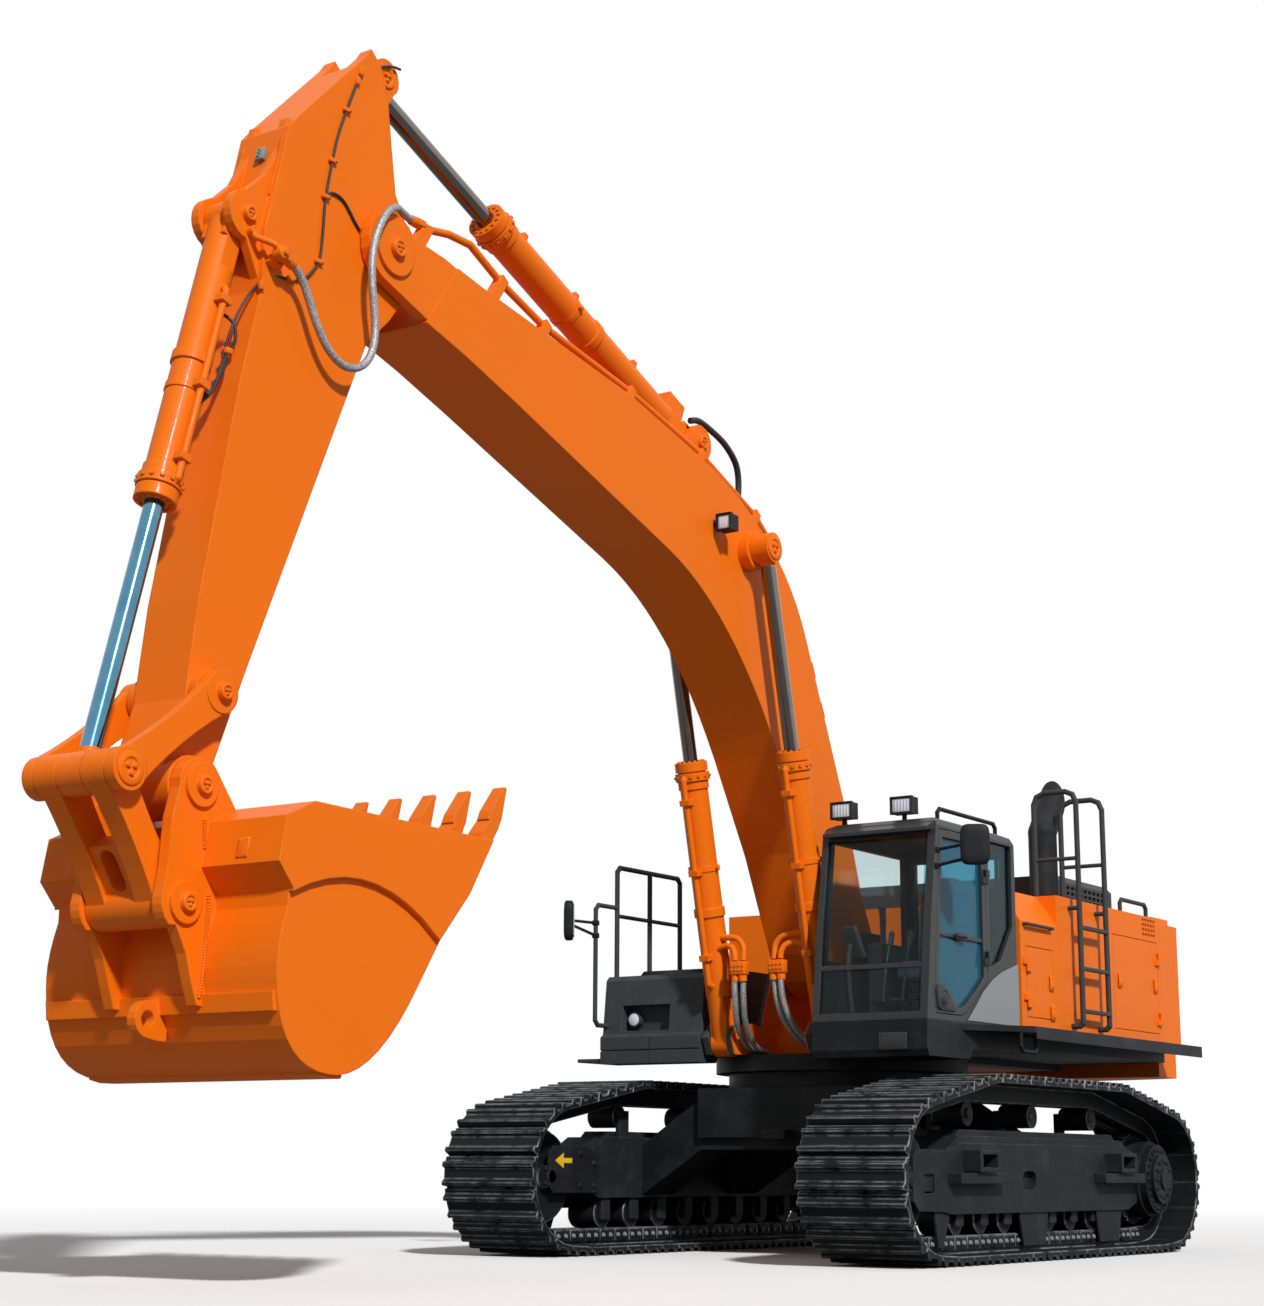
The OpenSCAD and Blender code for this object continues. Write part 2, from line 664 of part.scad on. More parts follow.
module ladder() {
  color(dark) {
    for (x = ladder_x) {
      tube([[x, body_y, 1930], [x, ladder_y - 30, 1930], [x, ladder_y, 1960], [x, ladder_y, 3900],
        [x, ladder_y - 30, 3970], [x, ladder_y - 100, 4000], [x, 1500, 4000], [x, 1430, 3970],
          [x, 1400, 3900],
        [x, 1400, house_z]], 24);
      rod3([x, body_y, 2960], [x, ladder_y, 2960], 20);
      rod3([x, 1400, 3400], [x, ladder_y, 3400], 18);
    }
    for (z = [2060, 2430, 2790])
      box(ladder_x[1], ladder_x[0], ladder_y - 22, ladder_y + 22, z - 16, z + 16);
  }
}
rail_y = 1640;
module handrails() {
  color(dark) {
    // Right side, over the tank and the tool box
    difference() {
      union() {
        tube([[1080, -rail_y, 2340], [1080, -rail_y, 3270], [1040, -rail_y, 3310], [100, -rail_y, 3310],
          [60, -rail_y, 3270], [60, -rail_y, tank_z - 60]], 22);
        rod3([560, -rail_y, tank_z - 60], [560, -rail_y, 3310], 22);
        rod3([60, -rail_y, 2880], [1080, -rail_y, 2880], 18);
        tube([[1080, -rail_y, 2950], [1370, -rail_y, 2950], [1410, -rail_y, 2910], [1410, -rail_y, 1950],
          [1370, -rail_y, 1910], [1200, -rail_y, 1910]], 20);
      }
      xz(tool_line, tool_y0, tool_y1);
      fuel_tank();
    }
    // Left side, behind the ladder and over the front door
    tube([[-2500, 1600, house_z], [-2500, 1600, 3150], [-2540, 1600, 3185], [-3090, 1600, 3185],
      [-3130, 1600, 3150], [-3130, 1600, house_z]], 20);
    tube([[-120, body_y, slope_z - 30], [-120, body_y + 35, slope_z - 30],
      [-650, body_y + 35, slope_z - 30],
      [-650, body_y, slope_z - 30]], 14);
  }
}

// Cab
function cab_side() = [[cab_rear, floor_z], [cab_front, floor_z], [cab_front - 95, floor_z + 770],
  [cab_brow, cab_top - 110], [cab_brow - 30, cab_top - 40], [cab_brow - 110, cab_top],
    [cab_rear + 90, cab_top],
  [cab_rear + 25, cab_top - 30], [cab_rear, cab_top - 90]];
// The cab seen from the front, with rounded roof edges
function cab_cross() = [[cab_in, floor_z - 1], [body_y, floor_z - 1], [body_y, cab_top - 75],
  [body_y - 25, cab_top - 25], [body_y - 80, cab_top], [cab_in + 80, cab_top], [cab_in + 25, cab_top - 25],
  [cab_in, cab_top - 75]];
door_pts = [[door_x, floor_z + 360], [door_x + 200, floor_z + 210], [door_x + 400, floor_z + 85],
  [door_x + 500, floor_z + 55], [cab_front - 155, floor_z + 55], [cab_front - 135, floor_z + 250],
  [cab_brow - 55, cab_top - 105], [door_x, cab_top - 95]];
// Side and front windows of the cab
rear_win = [[door_x - 70, 2330], [door_x - 70, cab_top - 100], [cab_rear + 60, cab_top - 100],
  [cab_rear + 75, 2690],
  [door_x - 255, 2390]];
right_win = [[cab_rear + 110, 2350], [cab_front - 180, 2350], [cab_brow - 110, cab_top - 150],
  [cab_rear + 110, cab_top - 150]];
bar_z = 2255;
bar_h = 40;
module front_win(y) {
  box(cab_front - 330, cab_front + 50, cab_in + 55 - y, body_y - 70 + y, floor_z + 60, cab_top - 150);
}
module cab_base() {
  color(dark) xz([[-60, deck_z], [900, deck_z], [960, deck_z - 75], [cab_front - 15, deck_z - 75],
    [cab_front + 10, deck_z - 20], [cab_front + 10, floor_z], [-60, floor_z]], cab_in, body_y);
}
// Pale panel on the cab side, under the door and the rear window
module cab_panel() {
  color(silver) xz([[cab_rear + 5, floor_z + 20], [985, floor_z + 20], [830, 1995], [690, 2115],
    [500, 2230],
    [330, 2300], [cab_rear + 5, 2385]], body_y, body_y + 12);
}
module cab_shell() {
  color(dark) difference() {
    intersection() {
      xz(cab_side(), cab_in, body_y);
      across(0, 2000, cab_cross());
    }
    intersection() {
      xz(inset(cab_side(), cab_t), cab_in + cab_t, body_y - cab_t);
      across(0, 2000, inset(cab_cross(), cab_t));
    }
    xz(inset(door_pts, -door_gap), body_y - cab_t - 1, body_y + 1);
    xz(rear_win, body_y - cab_t - 1, body_y + 1);
    xz(right_win, cab_in - 1, cab_in + cab_t + 1);
    front_win(0);
    box(cab_rear - 1, cab_rear + cab_t + 1, cab_in + 120, body_y - 120, 2500, cab_top - 190);
  }
  // Cross bar of the front window and visor over it
  color(dark) intersection() {
    difference() {
      xz(cab_side(), cab_in + 54, body_y - 69);
      xz(inset(cab_side(), 50), cab_in + 53, body_y - 68);
    }
    box(cab_front - 330, cab_front + 50, cab_in, body_y, bar_z, bar_z + bar_h);
  }
  color(dark) xz([[cab_brow - 6, cab_top - 110], [cab_brow + 75, cab_top - 125],
    [cab_brow + 75, cab_top - 95],
    [cab_brow - 30, cab_top - 45], [cab_brow - 40, cab_top - 60]], cab_in + 40, body_y - 40);
  color(dark) wall_hinges(door_x, 1, cab_hinges, 60);
}
module cab_glass() {
  color(glass) {
    xz(rear_win, body_y - 40, body_y - 40 + glass_t);
    xz(right_win, cab_in + 25, cab_in + 25 + glass_t);
    box(cab_rear + 25, cab_rear + 25 + glass_t, cab_in + 120, body_y - 120, 2500, cab_top - 190);
    front_glass();
  }
}
module front_glass() {
  intersection() {
    difference() {
      xz(inset(cab_side(), 25), cab_in, body_y);
      xz(inset(cab_side(), 25 + glass_t), cab_in - 1, body_y + 1);
      box(cab_front - 330, cab_front + 50, cab_in, body_y, bar_z, bar_z + bar_h);
    }
    front_win(0);
  }
}
door_win = inset(door_pts, 60);
cab_hinges = [floor_z + 480, cab_top - 470];
rail_z = 2516;
module cab_door() {
  color(dark) leaf_hinges(door_x, 1, cab_hinges, 60);
  color(dark) difference() {
    xz(door_pts, body_y - cab_t, body_y);
    xz(door_win, body_y - cab_t - 1, body_y + 1);
  }
  color(dark) intersection() {
    xz(door_pts, body_y - cab_t, body_y - 10);
    box(door_x, cab_front, body_y - cab_t, body_y - 10, rail_z, rail_z + 32);
  }
}
module cab_door_glass() {
  color(glass) difference() {
    xz(door_win, body_y - 40, body_y - 40 + glass_t);
    box(0, 2000, body_y - 100, body_y + 1, rail_z, rail_z + 32);
  }
}
seat_y = (cab_in + body_y) / 2;
module seat() {
  color(black) {
    box(350, 800, seat_y - 240, seat_y + 240, floor_z + cab_t + 330, floor_z + cab_t + 470);
    box(250, 350, seat_y - 240, seat_y + 240, floor_z + cab_t + 330, floor_z + cab_t + 1050);
    box(400, 700, seat_y - 160, seat_y + 160, floor_z + cab_t, floor_z + cab_t + 330);
  }
}
module cab_controls() {
  color(dark) {
    box(300, 950, seat_y - 390, seat_y - 260, floor_z + cab_t, floor_z + cab_t + 620);
    box(300, 850, seat_y + 260, seat_y + 380, floor_z + cab_t, floor_z + cab_t + 620);
    for (y = [seat_y - 330, seat_y + 320])
      translate([800, y, floor_z + cab_t + 620]) cylinder(r = 25, h = 200);
  }
}
module cab_lamps() {
  color(black) for (y = [cab_in + 110, body_y - 365])
    translate([cab_brow - 170, y, cab_top]) {
      cylinder(r = 20, h = 60);
      translate([-60, -95, 55]) cube([90, 190, 135]);
      // Rim round the lens
      translate([30, -100, 50]) difference() {
        cube([35, 200, 145]);
        translate([5, 14, 14]) cube([40, 172, 117]);
      }
    }
}
module roof_rail() {
  color(black) tube([[1000, 1480, cab_top], [1000, 1480, cab_top + 95], [960, 1480, cab_top + 130],
    [-50, 1480, cab_top + 130], [-90, 1480, cab_top + 95], [-90, 1480, house_z]], 18);
}
module mirrors() {
  color(black) {
    // Left mirror on two bars from the cab's front corner
    difference() {
      for (z = [3060, 3190])
        rod3([1488 - (z - 3060) * 0.13, body_y - 10, z], [1560, body_y + 280, z], 13);
      xz(cab_side(), cab_in, body_y);
    }
    box(1535, 1575, body_y + 250, body_y + 510, 3040, 3350);
    // Right mirror on the front handrail
    difference() {
      rod3([1410, -rail_y, 2790], [1690, -rail_y - 60, 2790], 13);
      rod3([1410, -rail_y, 2600], [1410, -rail_y, 2900], 20);
    }
    box(1672, 1706, -rail_y - 190, -rail_y + 30, 2660, 2920);
  }
}

// Boom
boom_line = boom_k1 * concat([[-150, -260], [140, -290], [430, -225], [1220, 217]],
  bend([2047, 577], [3250, 1080], [4218, 798], 12), [[6290, 185], [6850, 10], [7270, -140], [7270, 470],
  [7021, 580], [5268, 1430]], bend([4280, 1804], [3050, 2230], [2228, 1740], 12),
  [[990, 1005], [300, 500], [-60, 320], [-260, 180], [-300, -60]]);
tip_in = arm_b + 12;
tip_line = concat([boom_k1 * [6850, 10]], arc([boom_len, 0], 260, -100, 110, 12),
  boom_k1 * [[7400, 410], [6850, 620]]);
boss_r = 165;
module boom() {
  color(orange) at_boom() difference() {
    union() {
      difference() {
        xz(boom_line, -boom_b, boom_b);
        xz(inset(boom_line, 40), -boom_b + boom_t, boom_b - boom_t);
      }
      ybar([0, 0], 200, -foot_in + 8, foot_in - 8);
      ybar(boom_h, boss_r, -cyl_y + 80 + eye_gap, cyl_y - 80 - eye_gap);
      // Fork cheeks at the tip with their raised rings
      pair(tip_in, tip_in + 80, tip_line);
      for (m = [0, 1])
        mirror([0, m, 0]) ybar([boom_len, 0], 190, tip_in + 80, tip_in + 105);
      // Lugs of the arm cylinder
      pair(arm_barrel_r - 20 + eye_gap, arm_barrel_r + 60, concat(boom_k1 * [[3850, 1850], [4750, 1580]],
        arc(boom_k, 150, -20, 190, 10)));
      // Seats of the clamps on the upper edge
      for (x = [1650, 1960])
        xz(boom_k1 * [[x, 1330 + (x - 1650) * 0.6], [x + 120, 1400 + (x - 1650) * 0.6],
          [x + 80, 1480 + (x - 1650) * 0.6], [x - 40, 1410 + (x - 1650) * 0.6]], -boom_b + 10, boom_b - 10);
    }
    ybar([0, 0], foot_r + pin_gap, -foot_in, foot_in);
  }
  color(orange) at_boom() {
    ybar([boom_len, 0], tip_r, -tip_in - 130, tip_in + 130);
    ybar(boom_k, 62, -arm_barrel_r - 80, arm_barrel_r + 80);
  }
}
// Pipes along the upper edge, raised in an arch over the tip pin
pipe_y = 262;
pipe_line = boom_k1 * [[3000, 2075], [3400, 2080], [4280, 1868], [5268, 1492], [6316, 1010], [6863, 850],
  [7257, 784], [7460, 640], [7600, 500], [7720, 420]];
module boom_pipes() {
  color(orange) at_boom() difference() {
    for (y = [-pipe_y, pipe_y]) {
      tube([for (p = pipe_line) [p[0], y, p[1]]], 28);
      for (i = [1:5])
        translate([pipe_line[i][0], y, pipe_line[i][1]]) translate([-40, -38, -230]) cube([80, 76, 262]);
      // Bracket on the fork cheek
      xz(boom_k1 * [[7580, 100], [7690, 100], [7690, 425], [7600, 485]], y - 32, y + 32);
    }
    xz(boom_line, -boom_b, boom_b);
    xz(tip_line, -boom_b, boom_b);
  }
}
// Hoses from the ends of the pipes to the ports on the arm, hanging in a loop outside the fork
hose_r = 27;
hose_end = boom_w(pipe_line[len(pipe_line) - 1]);
hose_path = concat([[hose_end[0] + 0.5, pipe_y, hose_end[1]]],
  [[6450, 262, 7115], [6560, 290, 7114], [6680, 328, 7106], [6790, 354, 7036], [6880, 368, 6915],
  [6940, 370, 6770], [6965, 370, 6610], [6950, 366, 6440], [6915, 360, 6280], [6895, 355, 6130],
  [6925, 350, 5970], [7010, 345, 5865], [7130, 340, 5820], [7250, 336, 5840], [7360, 332, 5920],
  [7450, 328, 6040], [7520, 325, 6170], [7590, 325, 6280], [7670, 325, 6345], [7770, 325, 6380]]);
// Points of one ring round a path
function ring(p, i, r, n) = let (t = unit(p[min(i + 1, len(p) - 1)] - p[max(i - 1, 0)]),
  u = unit([0, 1, 0] - t * t[1]), v = cross(t, u))
  [for (k = [0:n - 1]) p[i] + r * (cos(360 * k / n) * u + sin(360 * k / n) * v)];
module hose(p, r, n = 10) {
  m = len(p);
  polyhedron(points = [for (i = [0:m - 1]) each ring(p, i, r, n)],
    faces = concat([[for (k = [0:n - 1]) k], [for (k = [0:n - 1]) m * n - 1 - k]],
      [for (i = [0:m - 2], k = [0:n - 1]) let (a = i * n + k, b = i * n + (k + 1) % n)
        [a, a + n, b + n, b]]));
}
module arm_hose(side) {
  color(silver) hose([for (p = hose_path) [p[0], side * p[1], p[2]]], hose_r);
}
module boom_lamp() {
  color(black) at_boom() translate([3830 * boom_k1, boom_b, 1490 * boom_k1]) rotate([0, boom_ang, 0]) {
    box(-40, 40, 0, 60, -12, 12);
    box(-70, 30, 45, 175, -65, 65);
    difference() {
      box(30, 65, 38, 182, -72, 72);
      box(36, 66, 52, 168, -58, 58);
    }
  }
}

// Cylinders. The barrel runs from its foot pin, the rod carries its own eye and pin
clamp_w = 50;
feed_r = 24;
// A feed pipe along a barrel with its clamps, drawn above the barrel
module feed(len, r, x0) {
  z = r + feed_r + 10;
  tube([[x0, 0, r - 10], [x0, 0, z - 20], [x0 + 20, 0, z], [len - 145, 0, z], [len - 125, 0, z - 20],
    [len - 125, 0, r]], feed_r);
  for (u = [0.3, 0.6, 0.85])
    translate([len * u, -45, r * 0.8]) cube([clamp_w, 90, z + feed_r + 10 - r * 0.8]);
}
// A clamp band round a barrel
module band(x, r) {
  translate([x, 0, 0]) rotate([0, 90, 0]) cylinder(r = r + 14, h = 70);
}
boom_hw = boom_w(boom_h);
arm_kw = boom_w(boom_k);
arm_rw = arm_w(arm_r);
arm_pw = arm_w(arm_p);
arm_aw = arm_w(arm_a);
arm_cw = arm_w(arm_c);
module barrel(len, r, rod, eye_r, half, pin) {
  difference() {
    union() {
      rotate([0, 90, 0]) cylinder(r = r, h = len);
      translate([len - 160, 0, 0]) rotate([0, 90, 0]) cylinder(r = r + 28, h = 70);
      translate([len - 80, 0, 0]) rotate([0, 90, 0]) cylinder(r = r + 20, h = 80);
      translate([len - 230, 0, 0]) rotate([0, 90, 0]) cylinder(r = r + 12, h = 80);
      children();
      ybar([0, 0], eye_r, -half, half);
      translate([0, -half, -eye_r * 0.8]) cube([eye_r + 60, 2 * half, eye_r * 1.6]);
    }
    translate([230, 0, 0]) rotate([0, 90, 0]) cylinder(r = rod + rod_gap, h = len);
    ybar([0, 0], pin + pin_gap, -half - 200, half + 200);
    translate([0, half + 100, 0]) cube([800, 200, 800], center = true);
    translate([0, -half - 100, 0]) cube([800, 200, 800], center = true);
  }
}
module rod(len, tail, r, eye_r, half) {
  translate([len - tail, 0, 0]) rotate([0, 90, 0]) cylinder(r = r, h = tail - eye_r * 0.5);
  translate([len, half, 0]) rotate([90, 0, 0]) cylinder(r = eye_r, h = 2 * half);
}
boom_cyl_len = norm(boom_hw - cyl_foot);
arm_cyl_len = norm(arm_rw - arm_kw);
bkt_cyl_len = norm(arm_cw - arm_pw);
// Barrel and rod lengths as shares of the pin distance
boom_barrel = 0.586 * boom_cyl_len;
arm_barrel = 0.662 * arm_cyl_len;
bkt_barrel = 0.538 * bkt_cyl_len;
module boom_cylinder_barrels() {
  color(orange) along(cyl_foot, boom_hw) both(cyl_y) barrel(boom_barrel, boom_barrel_r, boom_rod_r,
    120, 80, 62) {
    mirror([0, 0, 1]) feed(boom_barrel, boom_barrel_r, 500);
    band(boom_barrel * 0.45, boom_barrel_r);
  }
}
module boom_cylinder_rods() {
  color(silver) along(cyl_foot, boom_hw) both(cyl_y) rod(boom_cyl_len, 0.564 * boom_cyl_len,
    boom_rod_r, 125, 80);
}
module arm_cylinder_barrel() {
  color(orange) along(arm_kw, arm_rw) barrel(arm_barrel, arm_barrel_r, arm_rod_r, 130,
    arm_barrel_r - 20, 62) {
    feed(arm_barrel, arm_barrel_r, 420);
    // Port block at the foot
    box(170, 400, -65, 65, 90, 262);
    band(arm_barrel * 0.5, arm_barrel_r);
  }
}
module arm_cylinder_rod() {
  color(silver) along(arm_kw, arm_rw) rod(arm_cyl_len, 0.613 * arm_cyl_len, arm_rod_r, 140,
    arm_barrel_r - 20);
}
module bucket_cylinder_barrel() {
  color(orange) along(arm_pw, arm_cw) barrel(bkt_barrel, bkt_barrel_r, bkt_rod_r, 120, 100, 55) {
    rotate([-90, 0, 0]) feed(bkt_barrel, bkt_barrel_r, 560);
    band(bkt_barrel * 0.5, bkt_barrel_r);
  }
}
module bucket_cylinder_rod() {
  color(silver) along(arm_pw, arm_cw) rod(bkt_cyl_len, 0.561 * bkt_cyl_len, bkt_rod_r, 130, 100);
}

// Arm
function arm_pts(p) = [for (q = p) [q[0] > 0 ? q[0] * arm_k1 : q[0], q[1]]];
arm_line = arm_pts([[-1200, 610], [-1037, 448], [-760, 275], [-462, 82], [-330, -120], [-150, -300],
  [100, -330],
  [400, -260], [700, -140], [3350, -152], [4025, -167], [4220, -170], [4390, -120], [4430, 60], [4340, 170],
  [3783, 215], [3188, 387], [1714, 718], [1050, 830], [672, 985], [350, 1035], [-120, 1120], [-280, 1070],
  [-1150, 757], [-1235, 740]]);
arm_box = arm_pts([[-760, 380], [-420, 140], [-290, -90], [-130, -255], [100, -285], [390, -215],
  [690, -95],
  [3900, -110], [3900, 150], [3188, 340], [1714, 670], [1040, 785], [650, 930], [340, 985], [-110, 1065],
  [-260, 1020], [-760, 840]]);
// Lugs that hold the arm cylinder's rod and the bucket cylinder's foot
rod_lug = concat([[-850, 700]], arc(arm_r, 135, 95, 300, 10), [[-800, 420]]);
foot_lug = concat([[-260, 1000], [900 * arm_k1, 800], [1000 * arm_k1, 835]], arc(arm_p, 165, -20, 150, 10),
  [[300 * arm_k1, 1110], [50, 1090], [-200, 1125]]);
eye_y = arm_barrel_r - 20 + eye_gap;
foot_y = 100 + eye_gap;
pin_y = arm_b + 75;
port_y = arm_b + 77;
module arm() {
  color(orange) at_arm() difference() {
    union() {
      difference() {
        xz(arm_line, -arm_b, arm_b);
        xz(arm_box, -arm_b + arm_t, arm_b - arm_t);
        // Slot for the eye of the arm cylinder's rod
        xz([[-1500, 200], [-1020, 200], [-1020, 1000], [-1500, 1000]], -eye_y, eye_y);
        ybar(arm_p, 140, -foot_y, foot_y);
      }
      difference() {
        pair(eye_y, eye_y + 60, rod_lug);
        xz(arm_box, -arm_b, arm_b);
      }
      difference() {
        pair(foot_y, foot_y + 64, foot_lug);
        xz(arm_box, -arm_b, arm_b);
      }
      // Ports of the hoses
      pair(arm_b - 10, port_y, arm_pts([[790, 800], [880, 800], [880, 885], [790, 885]]));
      ybar([0, 0], 240, -arm_b, arm_b);
      ybar([arm_len, 0], 185, -pin_y, pin_y);
      ybar(arm_a, 140, -pin_y, pin_y);
    }
    ybar([0, 0], tip_r + pin_gap, -arm_b - 50, arm_b + 50);
    ybar([arm_len, 0], bucket_pin_r + pin_gap, -pin_y - 50, pin_y + 50);
    ybar(arm_a, 56, -pin_y - 50, pin_y + 50);
  }
  color(orange) at_arm() ybar(arm_p, 55, -foot_y - 90, foot_y + 90);
}

// Bucket linkage
link_in = pin_y + eye_gap;
module side_links() {
  d = norm(arm_c - arm_a);
  color(orange) along(arm_aw, arm_cw) {
    for (m = [0, 1])
      mirror([0, m, 0]) {
        ybar([0, 0], 130, link_in, link_in + 80);
        ybar([d, 0], 130, link_in, link_in + 80);
        xz(concat(bend([30, -120], [d / 2, -60], [d - 30, -120], 6), bend([d - 30, 120], [d / 2, 60],
          [30, 120], 6)),
          link_in + 8, link_in + 72);
      }
    ybar([0, 0], 55, -link_in - 110, link_in + 110);
  }
}
h_len = norm(arm_cw - ([bkt_x, bkt_z] + bkt_d));
h_arm = 100 + eye_gap;
module h_link() {
  color(orange) along([bkt_x, bkt_z] + bkt_d, arm_cw) difference() {
    union() {
      ybar([0, 0], 140, -link_in + 6, link_in - 6);
      for (m = [0, 1])
        mirror([0, m, 0]) {
          ybar([h_len, 0], 130, h_arm, link_in - 6);
          xz(concat(bend([40, -120], [h_len / 2, -70], [h_len - 30, -110], 6),
            bend([h_len - 30, 110], [h_len / 2, 70], [40, 120], 6)), h_arm + 20, link_in - 20);
        }
      xz([[100, -70], [430, -70], [430, 70], [100, 70]], -link_in + 30, link_in - 30);
    }
    // Slot in the web
    box(190, 340, -60, 60, -90, 90);
    for (x = [190, 340])
      translate([x, 0, -90]) cylinder(r = 60, h = 180);
    ybar([0, 0], bucket_pin_r + pin_gap, -600, 600);
  }
}

// Bucket, as parked, from its arm pin
// Outer curve from the lip round the heel to the back, then the box at the top of the back
bkt_curve = concat([[-2060, -130], [-1844, -483], [-1554, -812]],
  bend([-1374, -1074], [-1000, -1640], [-640, -1662], 8), bend([-560, -1660], [-165, -1630],
    [-105, -1220], 8),
  bend([-96, -1130], [-80, -960], [-165, -720], 5));
bkt_top = [[-165, -626], [-35, -480], [-86, -210], [-326, -100]];
bkt_line = concat(bkt_curve, bkt_top);
bkt_in = inset(bkt_line, bucket_t);
bkt_hollow = concat([[-2025, 0]], [for (i = [0:len(bkt_curve) - 2]) bkt_in[i]], [[-340, -590],
  [-520, -330], [-560, 0]]);
// Stouter upper side plate, above a curved seam
cheek_t = 40;
bkt_cheek = concat([[-2035, -130], [-1800, -495], [-1510, -812]], bend([-1330, -690], [-760, -360],
  [-165, -640], 8),
  bkt_top);
ear_in = pin_y + eye_gap;
ear_t = 80;
ear_line = concat(arc([0, 0], 170, -10, 150, 8), [[-330, -140], [-300, -600], [-200, -900],
  [-112, -1282], [-45, -1276],
  [5, -1150], [60, -985], [148, -830]], arc(bkt_d, 178, -50, 20, 5), [[235, -500], [215, -209]]);
eye_z = -1345;
module bucket() {
  color(orange) at_bucket() {
    difference() {
      union() {
        difference() {
          union() {
            xz(bkt_line, -bucket_b, bucket_b);
            pair(bucket_b, bucket_b + cheek_t, bkt_cheek);
            // Wear strips on the back and under the heel
            xz([[-150, -1210], [-82, -1210], [-95, -1320], [-160, -1320]], -bucket_b + 20, bucket_b - 20);
            xz([[-460, -1600], [-470, -1662], [-560, -1680], [-690, -1680], [-720, -1600]],
              -bucket_b + 20, bucket_b - 20);
            // Lifting eye on the back
            xz(concat([[-160, -1470], [-90, -1470]], arc([-10, eye_z], 110, -80, 80, 8), [[-90, -1225],
              [-160, -1225]]),
              -35, 35);
          }
          xz(bkt_hollow, -bucket_b + bucket_t, bucket_b - bucket_t);
          ybar([0, eye_z], 50, -36, 36);
        }
        difference() {
          pair(ear_in, ear_in + ear_t, ear_line);
          xz(bkt_hollow, -bucket_b + bucket_t, bucket_b - bucket_t);
        }
        for (m = [0, 1])
          mirror([0, m, 0]) {
            ybar([0, 0], 130, ear_in + ear_t, ear_in + ear_t + 25);
            ybar(bkt_d, 125, ear_in + ear_t, ear_in + ear_t + 25);
          }
      }
      ybar([0, 0], bucket_pin_r, -700, 700);
      ybar(bkt_d, bucket_pin_r, -700, 700);
    }
    ybar([0, 0], bucket_pin_r, -ear_in - ear_t - 45, ear_in + ear_t + 45);
    ybar(bkt_d, bucket_pin_r, -ear_in - ear_t - 45, ear_in + ear_t + 45);
  }
}
// One tooth along the lip's slope: a stout adapter and a wedge tip
tooth_ang = 121.5;
module tooth(w) {
  translate([-2060, 0, -130]) rotate([0, -tooth_ang, 0]) {
    xz([[-60, 6], [130, 22], [130, -70], [0, -95], [-120, -60], [-120, 6]], -w / 2, w / 2);
    xz([[120, 30], [200, 26], [405, -40], [400, -62], [180, -92], [120, -84]], -w / 2 + 12, w / 2 - 12);
  }
}
module bucket_teeth() {
  color(grey) at_bucket() difference() {
    for (i = [0:teeth_n - 1])
      translate([0, -bucket_b + 65 + i * (2 * bucket_b - 130) / (teeth_n - 1), 0]) tooth(120);
    xz(bkt_line, -bucket_b, bucket_b);
    pair(bucket_b, bucket_b + cheek_t, bkt_cheek);
  }
}

car_body();
track_frames();
track_left();
track_right();
idlers();
sprockets();
final_drives();
bottom_rollers();
carrier_rollers();
track_steps();
swing_ring_lower();
swing_ring_upper();
revolving_frame();
counterweight();
side_housings();
engine_block();
engine_hood();
left_front_door();
left_rear_door();
right_door();
exhaust_stack();
tool_box();
fuel_tank();
catwalks();
ladder();
handrails();
cab_base();
cab_panel();
cab_shell();
cab_glass();
cab_door();
cab_door_glass();
seat();
cab_controls();
cab_lamps();
roof_rail();
mirrors();
boom();
boom_pipes();
boom_lamp();
arm_hose(1);  // arm_hose_left
arm_hose(-1);  // arm_hose_right
boom_cylinder_barrels();
boom_cylinder_rods();
arm_cylinder_barrel();
arm_cylinder_rod();
arm();
bucket_cylinder_barrel();
bucket_cylinder_rod();
side_links();
h_link();
bucket();
bucket_teeth();
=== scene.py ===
import bpy
import bmesh
import json
from math import radians, sin, cos, pi, tau
from mathutils import Vector, Matrix
from mathutils.geometry import interpolate_bezier


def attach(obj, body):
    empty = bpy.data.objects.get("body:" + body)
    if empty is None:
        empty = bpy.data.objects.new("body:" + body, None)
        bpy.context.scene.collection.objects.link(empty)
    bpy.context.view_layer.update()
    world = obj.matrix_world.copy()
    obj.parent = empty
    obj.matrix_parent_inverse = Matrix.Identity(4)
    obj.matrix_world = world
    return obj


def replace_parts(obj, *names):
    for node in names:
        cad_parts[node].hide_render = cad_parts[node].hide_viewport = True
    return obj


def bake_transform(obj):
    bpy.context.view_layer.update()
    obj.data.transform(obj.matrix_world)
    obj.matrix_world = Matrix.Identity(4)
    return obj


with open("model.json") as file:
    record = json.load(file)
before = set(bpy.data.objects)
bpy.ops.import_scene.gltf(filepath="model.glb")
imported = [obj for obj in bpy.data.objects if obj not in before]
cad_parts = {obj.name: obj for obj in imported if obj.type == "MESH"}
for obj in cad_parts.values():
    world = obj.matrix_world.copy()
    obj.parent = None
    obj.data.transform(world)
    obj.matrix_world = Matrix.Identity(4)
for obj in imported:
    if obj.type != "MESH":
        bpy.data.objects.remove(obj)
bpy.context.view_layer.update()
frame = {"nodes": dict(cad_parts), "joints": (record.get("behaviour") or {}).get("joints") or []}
nodes = frame["nodes"]
scene = bpy.context.scene
print("frame:", len(nodes), "nodes")

